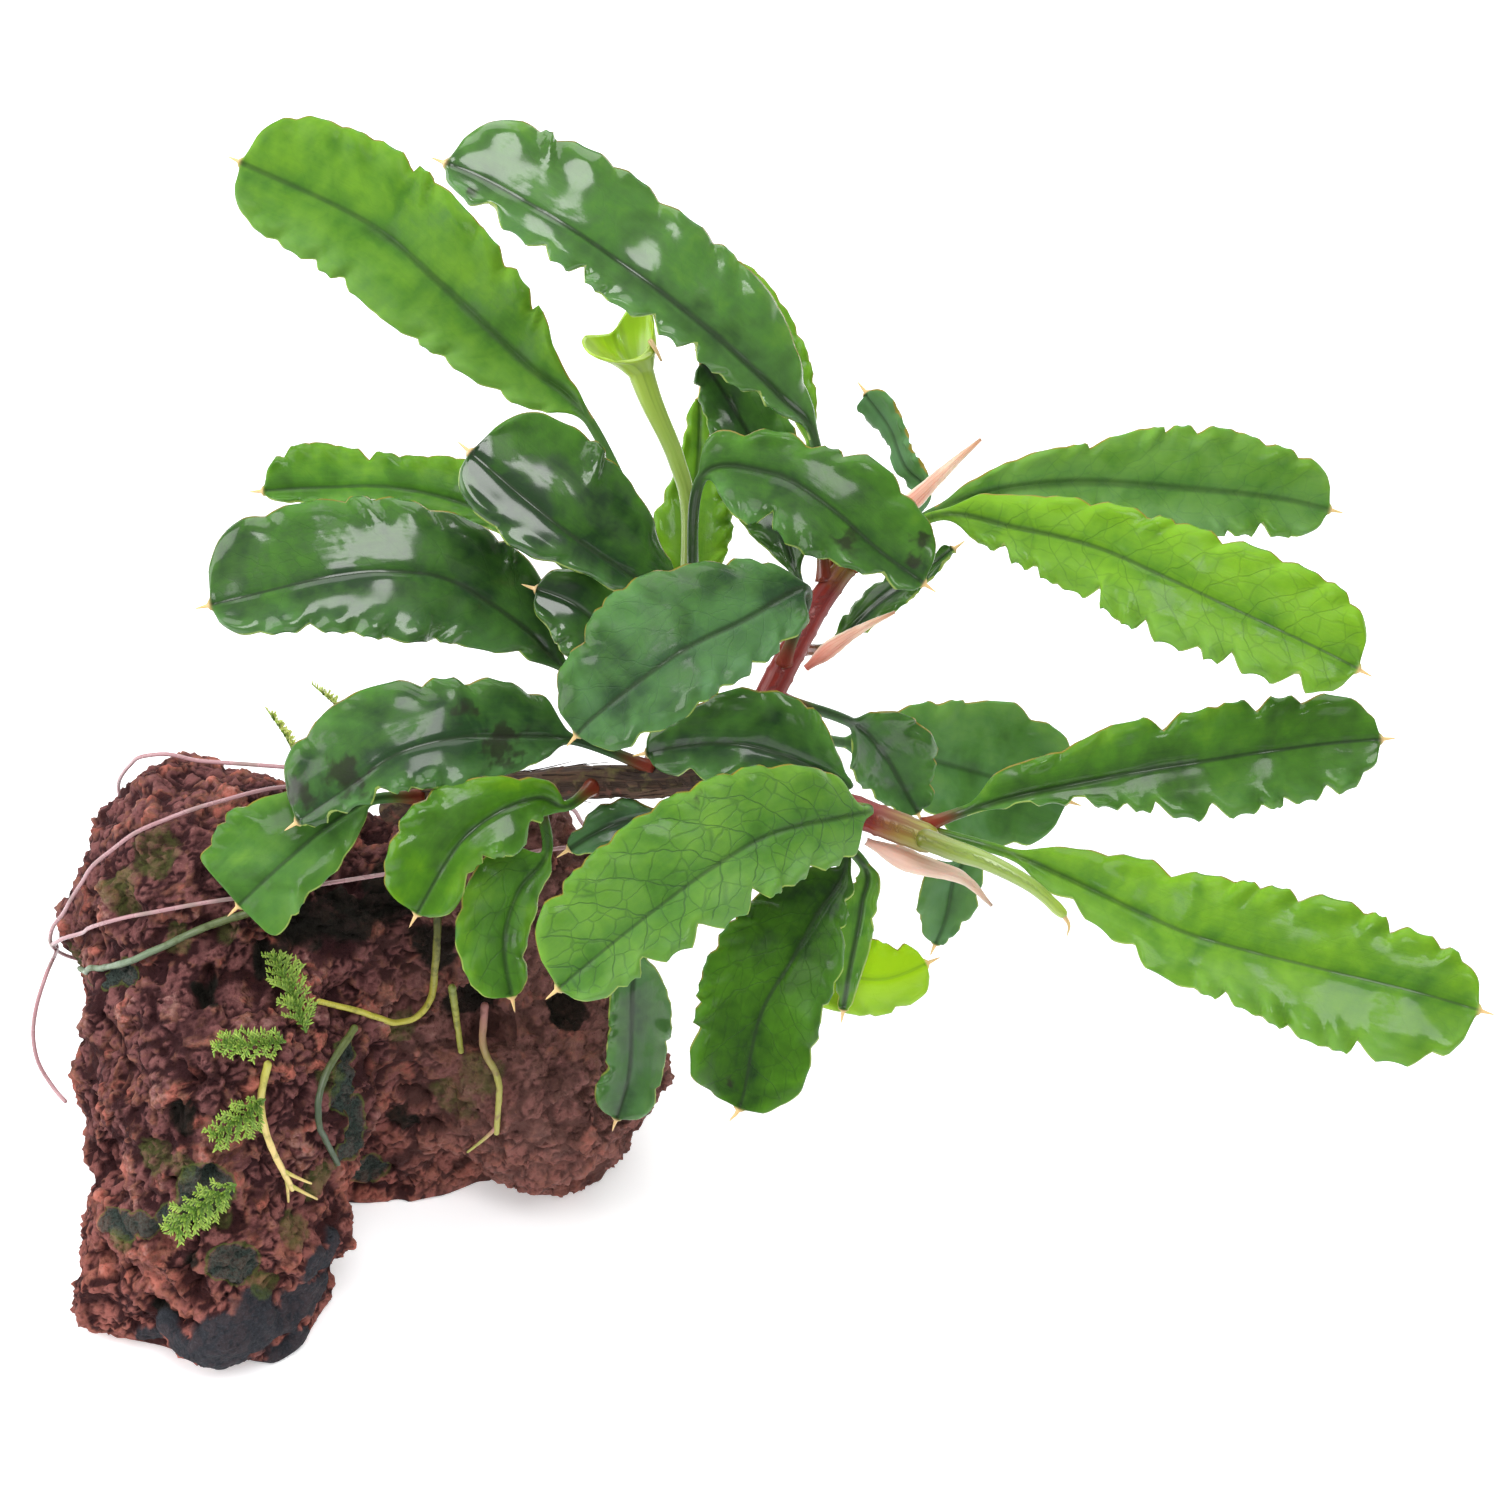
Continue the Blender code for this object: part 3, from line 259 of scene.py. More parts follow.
# Notches in the margins: pixels across and down, and the depth in tenths of a millimetre, first in the left
# margin and then in the right one. Margins without any get notches of their own.
NOTCHES = {
    "crest": (
        ((765, 380, 9), (697, 341, 15), (648, 320, 13), (584, 266, 15), (543, 249, 9), (493, 207, 17)),
        ((720, 246, 4), (664, 203, 5), (620, 166, 4), (559, 136, 6), (545, 128, 3), (470, 119, 2))),
    "pale_upper_left": (
        ((497, 392, 5), (447, 351, 5), (411, 346, 4), (345, 277, 8), (318, 258, 7), (276, 240, 4)),
        ((565, 385, 4), (532, 315, 9), (505, 268, 9), (436, 180, 5), (417, 172, 10), (375, 141, 3),
         (346, 126, 2), (296, 121, 4))),
    "right_top": (
        ((1090, 450, 6), (1165, 430, 8), (1197, 430, 9), (1266, 444, 5), (1298, 456, 6)),
        ((1100, 520, 6), (1165, 525, 8), (1230, 522, 7), (1263, 512, 15), (1330, 513, 5))),
    "right_bright": (
        ((1088, 503, 5), (1150, 520, 6), (1175, 523, 3), (1225, 537, 7), (1283, 563, 4), (1325, 586, 3),
         (1348, 613, 5)),
        ((1008, 535, 17), (1040, 549, 13), (1057, 580, 3), (1103, 590, 19), (1127, 606, 3), (1150, 607, 14),
         (1203, 642, 12), (1237, 644, 15), (1305, 665, 19), (1360, 667, 6))),
    "right_middle": (
        ((1062, 748, 3), (1161, 725, 14), (1213, 701, 3), (1255, 706, 13), (1300, 702, 8), (1366, 703, 3)),
        ((1022, 797, 10), (1082, 802, 15), (1127, 807, 9), (1157, 809, 12), (1214, 808, 16), (1265, 803, 8),
         (1286, 797, 9), (1327, 791, 12), (1365, 786, 6))),
    "right_low": (
        ((1108, 853, 3), (1170, 871, 9), (1238, 880, 3), (1260, 890, 5), (1297, 901, 9), (1365, 921, 6),
         (1390, 937, 11), (1440, 965, 8), (1460, 968, 4)),
        ((1078, 889, 7), (1142, 936, 9), (1198, 986, 4), (1230, 981, 11), (1262, 1014, 4), (1286, 1025, 7),
         (1330, 1048, 3), (1356, 1043, 13), (1433, 1054, 11))),
    "far_left": (
        ((518, 653, 6), (430, 643, 3), (384, 638, 5), (352, 629, 4), (312, 632, 9), (262, 638, 4)),
        ((505, 545, 4), (440, 498, 4), (375, 493, 4), (345, 499, 4), (262, 512, 4))),
    "far_left_back": (
        ((400, 505, 3), (300, 505, 3)),
        ((395, 460, 3), (366, 463, 11), (283, 461, 8))),
    "glossy_left": (
        ((556, 559, 4), (498, 526, 5)),
        ((612, 450, 4), (600, 431, 3))),
    "left_small": (((560, 640, 3),), ((530, 603, 4),)),
    "spotted": (
        ((741, 437, 7), (808, 450, 8), (849, 448, 6), (904, 494, 5)),
        ((769, 524, 15), (801, 545, 6), (825, 562, 4), (883, 568, 9))),
    "centre": (
        ((780, 645, 7), (757, 676, 9), (726, 700, 5), (700, 705, 4), (640, 734, 7), (598, 748, 3)),
        ((771, 572, 5), (733, 560, 4), (681, 566, 3), (626, 588, 4), (601, 608, 3), (580, 641, 6),
         (564, 701, 4))),
    "centre_under": (
        ((780, 785, 5), (735, 790, 6), (690, 778, 8)),
        ((805, 708, 4), (760, 683, 5))),
    "over_rock": (
        ((480, 782, 5), (420, 803, 5), (386, 796, 15), (326, 805, 13), (303, 820, 4)),
        ((535, 691, 5), (472, 682, 7), (424, 683, 7), (297, 733, 3), (270, 775, 4))),
    "drooping": (
        ((345, 858, 3), (309, 897, 4), (287, 910, 5)),
        ((243, 804, 3), (221, 820, 5), (206, 842, 3))),
    "curled_small": (
        ((535, 837, 11), (489, 861, 10), (468, 876, 3), (425, 921, 3)),
        ((562, 786, 4), (520, 777, 3), (426, 802, 6), (403, 832, 5), (381, 870, 3))),
    "small_hanging": (
        ((524, 958, 4),),
        ((461, 908, 4), (457, 962, 3), (467, 992, 3))),
    "front_broad": (
        ((838, 843, 6), (809, 866, 9), (781, 891, 5), (752, 885, 16), (702, 930, 14), (637, 958, 16),
         (616, 982, 4)),
        ((771, 785, 4), (737, 784, 4), (692, 791, 4), (646, 808, 4), (602, 837, 4), (580, 863, 3),
         (561, 889, 7), (529, 950, 3))),
    "front_down": (
        ((846, 907, 9), (841, 928, 4), (840, 987, 4), (832, 1010, 3), (818, 1050, 4), (776, 1107, 4)),
        ((740, 925, 4), (713, 945, 8), (700, 978, 5), (711, 1003, 10), (705, 1027, 7), (700, 1087, 4))),
    "hanging": (
        ((668, 1043, 4), (657, 1090, 4)),
        ((613, 1028, 5), (609, 1068, 7))),
    "behind_spotted": (((704, 383, 9), (722, 440, 4)), ()),
    "young_bright": (
        ((896, 946, 9),),
        ((868, 1013, 4), (898, 1008, 5))),
    "behind_front": (((868, 922, 6),), ()),
    "back_broad": (
        ((900, 712, 4), (938, 705, 6), (967, 702, 3), (1033, 716, 6)),
        ()),
    "back_low": ((), ((921, 908, 4),)),
}
VEINED_LEAVES = {"front_broad": 1.0, "small_hanging": 0.6, "front_down": 0.6,
                 "centre": 0.55, "right_bright": 0.5, "right_top": 0.4, "far_left": 0.3}

# How wet each leaf looks, and how broad and how dark its midrib is; the others take their group's look.
Skin = namedtuple("Skin", "gloss rib_breadth rib_depth")
DARK_SKIN = Skin(0.6, 1.0, 0.8)
BRIGHT_SKIN = Skin(0.25, 1.0, 0.55)
SKINS = {
    "crest": Skin(1.0, 1.5, 0.8),
    "glossy_left": Skin(1.0, 1.0, 0.8),
    "far_left": Skin(0.9, 1.0, 0.8),
    "left_small": Skin(1.0, 1.0, 0.8),
    "spotted": Skin(0.50, 1.2, 0.8),
    "centre": Skin(0.35, 1.2, 0.75),
    "over_rock": Skin(0.60, 0.8, 0.7),
    "drooping": Skin(0.25, 0.8, 0.6),
    "curled_small": Skin(0.55, 0.8, 0.7),
    "front_down": Skin(0.25, 0.9, 0.7),
    "twisted": Skin(0.15, 0.8, 0.5),
    "back_low": Skin(0.10, 0.8, 0.5),
    "pale_upper_left": Skin(0.12, 2.0, 0.50),
    "right_top": Skin(0.10, 2.0, 0.45),
    "back_broad": Skin(0.10, 1.2, 0.45),
    "right_middle": Skin(0.45, 1.2, 0.75),
    "right_low": Skin(0.35, 1.0, 0.50),
    "young_bright": Skin(0.25, 0.7, 0.35),
}

# Stains on leaves: pixels across and down, and the radius in millimetres.
STAINS = {
    "over_rock": ((500, 745, 3.2), (465, 710, 1.8), (345, 775, 3.4), (300, 790, 2.6)),
    "spotted": ((847, 544, 1.9), (912, 564, 1.3), (922, 542, 1.6)),
    "front_broad": ((697, 800, 1.2),),
    "crest": ((470, 190, 1.2),),
    "front_down": ((730, 1085, 1.0),),
}

# Sheaths and the furled leaf: places, then radii in millimetres.
Horn = namedtuple("Horn", "name places radii")
SHEATHS = (
    Horn("sheath_upper_tip", ((880, 532, 0), (912, 502, 1), (948, 468, 2), (981, 439, 2)),
         (1.1, 0.95, 0.6, 0.15)),
    Horn("sheath_upper_low", ((806, 668, 6), (838, 643, 7), (868, 625, 8), (895, 612, 8)),
         (1.2, 0.85, 0.45, 0.12)),
    Horn("sheath_right", ((866, 841, 5), (912, 862, 4), (962, 878, 3), (992, 906, 3)),
         (1.3, 1.2, 0.75, 0.12)),
)
FURLED_LEAF = Horn("leaf_furled_right",
                   ((926, 839, 9), (952, 849, 10), (990, 863, 11), (1032, 886, 11), (1062, 913, 10)),
                   (1.2, 1.15, 0.98, 0.80, 0.60))
UNROLLING_FROM = 0.66
UNROLLING_PLACES = ((690, 575, -4), (688, 520, -3), (676, 460, -2), (650, 400, 0), (633, 350, 1))
UNROLLING_RADII = (0.6, 0.6, 0.7, 0.95, 1.45)

# Roots that cling to the rock, as the pixels that they pass.
ROOTS = {
    "root_front": ((441, 890), (438, 960), (428, 1000), (400, 1022), (360, 1012), (318, 1003)),
    "root_lower_left": ((268, 1064), (262, 1100), (268, 1140), (292, 1194)),
    "root_pink_right": ((484, 1004), (486, 1050), (500, 1080), (499, 1130)),
    "root_short_right": ((452, 985), (456, 1026), (462, 1056)),
    "root_dark_loop": ((352, 1030), (322, 1075), (318, 1120), (338, 1165)),
    "root_left_edge": ((262, 908), (205, 925), (130, 962), (84, 968)),
}

# Moss: the pixels at the foot and the tip of each sprig, and its width in millimetres.
MOSS_SPRIGS = {
    "moss_frond_top": ((306, 1034), (268, 950), 5.0),
    "moss_frond_side": ((282, 1044), (210, 1048), 4.0),
    "moss_frond_low": ((262, 1100), (204, 1138), 4.8),
    "moss_mat_low": ((238, 1180), (176, 1226), 5.2),
}
MOSS_TUFTS = {
    "moss_tuft_back": ((322, 735, -17), (266, 708, -17), 3.0),
    "moss_tuft_high": ((398, 712, -17), (312, 684, -17), 3.0),
}
SPRIG_THICKNESS = 0.9 * MM

# The tie line's turns, top one first: two pixels that a turn passes on the rock's face, a place behind the
# rock in millimetres, and how far the turn stands off.
Turn = namedtuple("Turn", "first second behind stand_off")
LINE_TURNS = (
    Turn((190, 764), (300, 796), (0, 28, 9), 1.2),
    Turn((80, 898), (240, 800), (0, 28, 15), 0.6),
    Turn((86, 932), (216, 902), (0, 28, 9), 0.6),
)
LINE_STEPS = 40
LINE_ROW = 0.8 * MM
LINE_ROUGH_ROW = 4 * LINE_ROW
LINE_SIDES = 10
LINE_CHANGE = 0.22
LINE_LAST_TURN = 0.75
LINE_BIGHT = ((46, 975, -14), (33, 1030, -15), (46, 1080, -17), (76, 1098, -15))

# The rock's holes and crevices (pixels, radius and depth in millimetres); its algae, the painted shadow under
# the leaves and the painted shade of its foot (pixels, radius).
ROCK_HOLES = (
    (207, 990, 1.9, 2.4), (200, 978, 1.2, 1.4), (112, 1274, 0.9, 1.5), (131, 1272, 0.9, 1.5),
    (190, 1082, 1.7, 1.8), (178, 1072, 1.1, 1.2), (176, 1112, 1.7, 1.2), (186, 1136, 1.5, 1.1),
    (212, 1172, 1.3, 1.3), (188, 1236, 1.2, 1.6), (184, 1252, 1.3, 1.8), (182, 1268, 1.3, 1.8),
    (190, 1284, 1.3, 1.8), (198, 1298, 1.2, 1.4), (158, 1308, 1.3, 1.2), (172, 1316, 1.2, 1.2),
    (118, 1190, 1.2, 1.2), (128, 1196, 1.0, 1.0), (300, 925, 2.6, 0.9), (340, 945, 2.6, 0.9),
    (150, 1000, 1.1, 0.9), (168, 835, 1.2, 0.8), (130, 800, 0.9, 0.7), (260, 880, 1.2, 0.8),
    (380, 1060, 1.5, 1.3), (412, 1098, 1.6, 1.5), (430, 1130, 1.3, 1.2), (560, 1080, 1.8, 1.2),
    (480, 1190, 1.4, 1.0), (620, 1060, 1.6, 1.2), (520, 1130, 1.6, 1.2),
)
DARK_ALGAE = (
    (203, 1186, 2.1), (200, 1204, 2.0), (216, 1192, 1.8), (108, 1220, 1.2), (126, 1226, 1.3),
    (146, 1226, 1.3), (166, 1220, 1.3), (228, 1264, 1.8), (244, 1272, 1.8), (352, 1050, 1.3),
    (350, 1074, 1.4), (350, 1098, 1.6), (356, 1124, 1.8), (358, 1150, 2.2), (364, 1172, 2.2), (86, 974, 1.2),
    (104, 974, 1.3), (122, 973, 1.2),
)
GREEN_ALGAE = (
    (182, 1168, 1.5), (222, 1216, 1.5), (75, 1010, 2.4), (70, 960, 2.0), (265, 1286, 1.4), (334, 1080, 1.6),
    (118, 1240, 1.5), (228, 930, 1.6), (180, 940, 1.6), (480, 1075, 2.4), (330, 720, 3.0), (400, 1025, 1.8),
    (150, 850, 3.0), (120, 890, 2.6), (150, 1160, 2.0), (320, 1180, 2.0), (455, 1100, 2.6), (300, 1230, 2.2),
)
# Painted shadow: a black patch where the leaves shade the rock (pixels, radius).
SHADOW_UNDER_LEAVES = (
    (300, 925, 4.6), (345, 915, 4.8), (392, 890, 4.6), (270, 960, 2.6), (207, 990, 2.4), (430, 950, 4.0),
    (470, 1000, 3.6), (560, 1010, 3.4), (185, 1262, 1.8), (400, 1120, 2.4), (180, 1120, 2.6),
    (160, 1312, 1.8),
)
# Painted shade: the dark bluish-grey foot where the rock meets the floor (pixels, radius).
SHADED_FOOT = (
    (150, 1338, 1.8), (176, 1346, 2.4), (205, 1352, 3.4), (240, 1352, 4.6), (275, 1335, 4.6),
    (300, 1300, 3.6), (318, 1268, 2.6), (255, 1318, 3.4), (228, 1340, 3.6), (162, 1328, 2.0),
    (212, 1368, 2.6), (246, 1374, 3.0), (280, 1362, 2.6), (322, 1290, 2.2), (338, 1238, 1.6),
    (330, 1262, 2.0), (302, 1343, 2.4),
)


def seen(across, down, nearer):
    """The point that the view shows at a pixel, so many millimetres nearer than the view's centre."""
    near = nearer * MM
    spread = PIXEL * (VIEW_DISTANCE - near) / VIEW_DISTANCE
    on_plane = RIGHT * (across - PHOTO_MIDDLE) + UP * (PHOTO_MIDDLE - down)
    return VIEW_CENTRE + NEARER * near + on_plane * spread


def pixel_of(point):
    """The pixel at which the view shows a point."""
    offset = point - VIEW_CENTRE
    spread = PIXEL * (VIEW_DISTANCE - offset.dot(NEARER)) / VIEW_DISTANCE
    return Vector((PHOTO_MIDDLE + offset.dot(RIGHT) / spread, PHOTO_MIDDLE - offset.dot(UP) / spread))


def smooth_path(points, count):
    """count + 1 points, evenly spaced, on a smooth curve through the given ones."""
    ends = [points[0] * 2 - points[1], *points, points[-1] * 2 - points[-2]]
    fine = []
    for before, start, end, after in zip(ends, ends[1:], ends[2:], ends[3:]):
        out, into = start + (end - before) / 6, end - (after - start) / 6
        fine += geometry.interpolate_bezier(start, out, into, end, CURVE_STEPS)[:-1]
    fine.append(points[-1])
    lengths = [0.0]
    for a, b in zip(fine, fine[1:]):
        lengths.append(lengths[-1] + (b - a).length)
    path = []
    k = 0
    for n in range(count + 1):
        want = lengths[-1] * n / count
        while k < len(fine) - 2 and lengths[k + 1] < want:
            k += 1
        share = (want - lengths[k]) / max(lengths[k + 1] - lengths[k], 1e-9)
        path.append(fine[k].lerp(fine[k + 1], min(share, 1.0)))
    return path


def seen_path(places, count):
    """A smooth curve through places of the view."""
    return smooth_path([seen(*place) for place in places], count)


def point_along(path, share):
    """The point at a share of the way along a path, and the index of the path's point before it."""
    place = share * (len(path) - 1)
    k = min(int(place), len(path) - 2)
    return path[k].lerp(path[k + 1], place - k), k


def path_length(points):
    return sum((b - a).length for a, b in zip(points, points[1:]))


def mix(a, b, share):
    return a + (b - a) * share


def eased(value, low, high):
    """0 below low, 1 above high, and a smooth rise between."""
    share = min(1.0, max(0.0, (value - low) / (high - low)))
    return share * share * (3 - 2 * share)


def along_list(values, share):
    """The value at a share of the way along a list."""
    place = min(1.0, max(0.0, share)) * (len(values) - 1)
    low = min(int(place), len(values) - 2)
    return mix(values[low], values[low + 1], place - low)


def cad_mesh(node):
    """A closed copy of a CAD node's mesh, as a bmesh."""
    bm = bmesh.new()
    bm.from_mesh(frame["nodes"][node].data)
    bmesh.ops.remove_doubles(bm, verts=bm.verts[:], dist=WELD)
    return bm


def whole(bm):
    """Every vertex, edge and face of a bmesh."""
    return bm.verts[:] + bm.edges[:] + bm.faces[:]


def new_layers(bm, *names):
    """Layers of three numbers for each vertex, which the finishes read by name."""
    return [bm.verts.layers.float_vector.new(name) for name in names]


def new_grid(bm, rows, sides):
    """A new grid's vertices, each with its row and its place across."""
    made = bmesh.ops.create_grid(bm, x_segments=rows, y_segments=sides, size=0.5)["verts"]
    return [(vert, round((vert.co.x + 0.5) * rows), round((vert.co.y + 0.5) * sides)) for vert in made]


def mesh_from(name, bm):
    """A mesh with a bmesh's shape; the bmesh is given up."""
    mesh = bpy.data.meshes.new(name)
    bm.to_mesh(mesh)
    bm.free()
    return mesh


def add_object(name, data):
    """A new object in the scene."""
    made = bpy.data.objects.new(name, data)
    bpy.context.scene.collection.objects.link(made)
    return made


def add_piece(name, bm, finish, node):
    """A finished piece that rides on the plant and stands for a CAD node."""
    mesh = mesh_from(name, bm)
    mesh.shade_smooth()
    mesh.materials.append(finish)
    piece = add_object(name, mesh)
    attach(piece, "root")
    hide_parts(node)
    return piece


def faced_outwards(bm):
    """Closes the seams of a shell and points its faces outwards."""
    bmesh.ops.remove_doubles(bm, verts=bm.verts[:], dist=WELD)
    if bm.calc_volume(signed=True) < 0:
        bmesh.ops.reverse_faces(bm, faces=bm.faces[:])


def sweep_frames(path):
    """For each point of a path, the way along it and two ways across that don't spin."""
    frames = []
    across = NEARER
    for k, point in enumerate(path):
        along = (path[min(k + 1, len(path) - 1)] - path[max(k - 1, 0)]).normalized()
        across = (across - along * across.dot(along)).normalized()
        frames.append((point, along, across, along.cross(across)))
    return frames


CAP_STEPS = 3


def add_tube(bm, path, radius, sides, layer=None, tag=0.0):
    """A closed round bar along a path. radius(share, angle) is its radius in metres; layer takes
    (share of the way, angle, tag) for the finish."""
    frames = sweep_frames(path)
    last = len(path) - 1
    rows = last + 2 * CAP_STEPS

    def station(row):
        """The point's index, the share of the way along, the end cap's swell and how far it stands out."""
        if row < CAP_STEPS:
            turn = row / CAP_STEPS * math.pi / 2
            return 0, 0.0, math.sin(turn), -math.cos(turn)
        if row > last + CAP_STEPS:
            turn = (rows - row) / CAP_STEPS * math.pi / 2
            return last, 1.0, math.sin(turn), math.cos(turn)
        k = row - CAP_STEPS
        return k, k / last, 1.0, 0.0

    def place(row, side):
        k, share, swell, out = station(row)
        point, along, across, other = frames[k]
        angle = 2 * math.pi * side / sides
        size = radius(share, angle)
        around = across * math.cos(angle) + other * math.sin(angle)
        return point + around * (size * swell) + along * (radius(share, 0) * out)

    for vert, row, side in new_grid(bm, rows, sides):
        if layer is not None:
            vert[layer] = Vector((station(row)[1], side / sides, tag))
        vert.co = place(row, side % sides)


class Finish:
    """A material in the making: one Principled BSDF and the patterns that feed it. Its flesh is how much
    light enters it, how far each colour goes in it, and the unit of that in millimetres."""

    def __init__(self, name, constants, flesh=None):
        if flesh:
            weight, radius, reach = flesh
            constants = {**constants, "Subsurface Weight": weight, "Subsurface Radius": radius,
                         "Subsurface Scale": reach * MM}
        self.material = bpy.data.materials.new(name)
        self.material.use_nodes = True
        self.tree = self.material.node_tree
        self.shader = self.tree.nodes["Principled BSDF"]
        for socket, value in constants.items():
            self.shader.inputs[socket].default_value = value
        self.place = self.node("TexCoord").outputs["Object"]

    def node(self, kind, **settings):
        made = self.tree.nodes.new("ShaderNode" + kind)
        for name, value in settings.items():
            setattr(made, name, value)
        return made

    def feed(self, socket, value):
        if isinstance(value, bpy.types.NodeSocket):
            self.tree.links.new(value, socket)
        elif socket.type == "RGBA":
            socket.default_value = (*value[:3], 1)
        else:
            socket.default_value = value

    def attribute(self, name):
        """The three parts of a piece's own attribute."""
        read = self.node("Attribute", attribute_name=name)
        split = self.node("SeparateXYZ")
        self.feed(split.inputs[0], read.outputs["Vector"])
        return tuple(split.outputs)

    def vector(self, x, y, z=0.0):
        made = self.node("CombineXYZ")
        for socket, value in zip(made.inputs, (x, y, z)):
            self.feed(socket, value)
        return made.outputs[0]

    def maths(self, operation, *values, clamp=False):
        made = self.node("Math", operation=operation, use_clamp=clamp)
        for socket, value in zip(made.inputs, values):
            self.feed(socket, value)
        return made.outputs[0]

    def times(self, first, second):
        return self.maths("MULTIPLY", first, second)

    def ranged(self, value, low, high, out_low=0.0, out_high=1.0):
        """A value that eases from out_low at low to out_high at high."""
        made = self.node("MapRange", interpolation_type="SMOOTHSTEP")
        for socket, item in zip(made.inputs, (value, low, high, out_low, out_high)):
            self.feed(socket, item)
        return made.outputs[0]

    def noise(self, size, detail=3.0, roughness=0.55, distortion=0.0, place=None):
        made = self.node("TexNoise")
        self.feed(made.inputs["Vector"], place or self.place)
        made.inputs["Scale"].default_value = 1 / size
        made.inputs["Detail"].default_value = detail
        made.inputs["Roughness"].default_value = roughness
        made.inputs["Distortion"].default_value = distortion
        return made.outputs[0]

    def cells(self, size, feature="DISTANCE_TO_EDGE", place=None):
        made = self.node("TexVoronoi", feature=feature)
        self.feed(made.inputs["Vector"], place or self.place)
        made.inputs["Scale"].default_value = 1 / size
        return made.outputs["Distance"]

    def blend(self, share, first, second, kind="MIX"):
        made = self.node("Mix", data_type="RGBA", blend_type=kind)
        self.feed(made.inputs[0], share)
        self.feed(made.inputs[6], first)
        self.feed(made.inputs[7], second)
        return made.outputs[2]

    def over(self, colour, top, value, low, high, most):
        """A colour with a top one laid over it, from none of it at low to the most at high."""
        return self.blend(self.ranged(value, low, high, 0.0, most), colour, top)

    def ramp(self, value, *stops):
        """Colours along a value; each stop is (place, colour)."""
        made = self.node("ValToRGB")
        self.feed(made.inputs[0], value)
        points = made.color_ramp.elements
        while len(points) < len(stops):
            points.new(0.5)
        for point, (place, colour) in zip(points, stops):
            point.position = place
            point.color = (*colour[:3], 1)
        return made.outputs[0]

    def total(self, *terms):
        """The sum of value * weight over (value, weight) pairs."""
        result = 0.0
        for value, weight in terms:
            result = self.maths("MULTIPLY_ADD", value, weight, result)
        return result

    def done(self, colour, roughness=None, relief=None):
        """Feeds the shader; relief is a height in millimetres."""
        self.feed(self.shader.inputs["Base Color"], colour)
        if roughness is not None:
            self.feed(self.shader.inputs["Roughness"], roughness)
        if relief is not None:
            bump = self.node("Bump")
            bump.inputs["Distance"].default_value = MM
            self.feed(bump.inputs["Height"], relief)
            self.feed(self.shader.inputs["Normal"], bump.outputs[0])
        return self.material


def colour_field(label, about, value):
    return FloatVectorProperty(name=label, description=about, default=value, subtype="COLOR", size=3,
                               min=0, max=1)


def length_field(label, about, value):
    return FloatProperty(name=label, description=about, default=value, unit="LENGTH", min=0, precision=5)


def strength_field(label, about, value):
    return FloatProperty(name=label, description=about, default=value, min=0)


class PlantRockSizes(bpy.types.PropertyGroup):
    """The lava rock's relief and colours."""

    voxel: length_field("Grain", "Edge of the cells that the rock's surface is made of", 0.41 * MM)
    lump: length_field("Lump height", "How far the broad lumps stand out", 0.9 * MM)
    crumb: length_field("Crumb height", "Depth of the gaps between the crumbs", 1.0 * MM)
    rust: colour_field("Rust", "Colour of the weathered crust", (0.420, 0.122, 0.092))
    ember: colour_field("Ember", "Colour of the brightest rust", (0.560, 0.175, 0.125))
    brown: colour_field("Brown", "Colour of the brown crust", (0.255, 0.105, 0.070))
    plum: colour_field("Plum", "Colour of the purple crust", (0.215, 0.080, 0.078))
    # Ash is also laid on the raised crumbs as wear with a painted highlight.
    ash: colour_field("Ash", "Colour of the pale worn edges", (0.470, 0.260, 0.225))
    # Hollow darkens the pits by their depth as painted shade, as well as the random dark speckle and blots.
    hollow: colour_field("Hollow", "Colour inside the pits", (0.032, 0.010, 0.012))
    # Painted shade on the rock's right side, under the leaves.
    shaded_side_colour: colour_field("Gloom", "Colour of the dull side of the rock", (0.260, 0.128, 0.105))
    algae: colour_field("Dark algae", "Colour of the grey-green film", (0.050, 0.078, 0.066))
    green: colour_field("Green algae", "Colour of the bright green rim of the film", (0.110, 0.150, 0.035))
    # Painted shadow where the leaves shade the rock.
    leaf_shadow: colour_field("Soot", "Colour of the black growth in shaded hollows", (0.012, 0.012, 0.009))
    # Painted shade on the foot, where the rock meets the floor.
    foot_shade: colour_field("Foot", "Colour of the dark foot of the rock", (0.030, 0.033, 0.040))


class PlantLeafSizes(bpy.types.PropertyGroup):
    """The leaves' thickness, waves, veins and colours."""

    row: length_field("Row", "Length of a leaf's mesh cells", 0.36 * MM)
    columns: IntProperty(name="Columns", description="Mesh cells on each side of the midrib", default=15,
                         min=4)
    blade: length_field("Blade thickness", "Thickness of a blade", 0.38 * MM)
    petiole: length_field("Petiole", "Width of a leaf stalk", 1.1 * MM)
    lobe: length_field("Lobe", "Length of one wave of the margin on a broad leaf", 4.6 * MM)
    ruffle: length_field("Ruffle", "Least height of the waves of the margin", 0.35 * MM)
    groove: length_field("Midrib groove", "Depth of the groove over the midrib", 0.26 * MM)
    pillow: strength_field("Pillow", "How far each half of a blade bulges, per width", 0.05)
    vein: length_field("Vein spacing", "Distance between the side veins", 4.2 * MM)
    dark: colour_field("Dark leaf", "Colour of the old leaves", (0.006, 0.030, 0.003))
    middle: colour_field("Mid leaf", "Colour of the full grown leaves", (0.052, 0.162, 0.006))
    light: colour_field("Light leaf", "Colour of the young leaves", (0.160, 0.345, 0.006))
    lime: colour_field("Lime leaf", "Colour of the youngest leaves", (0.300, 0.520, 0.005))
    # The grey laid into a leaf's colour as a painted sheen, and the colour that its underside pales towards.
    haze: colour_field("Haze", "Colour of the grey film on some leaves", (0.100, 0.210, 0.110))
    midrib: colour_field("Midrib", "Colour of the midrib", (0.045, 0.060, 0.035))
    rim: colour_field("Rim", "Colour of the thin edge of a leaf", (0.30, 0.40, 0.08))
    awn: colour_field("Awn", "Colour of the bristle at a leaf's tip", (0.72, 0.48, 0.22))


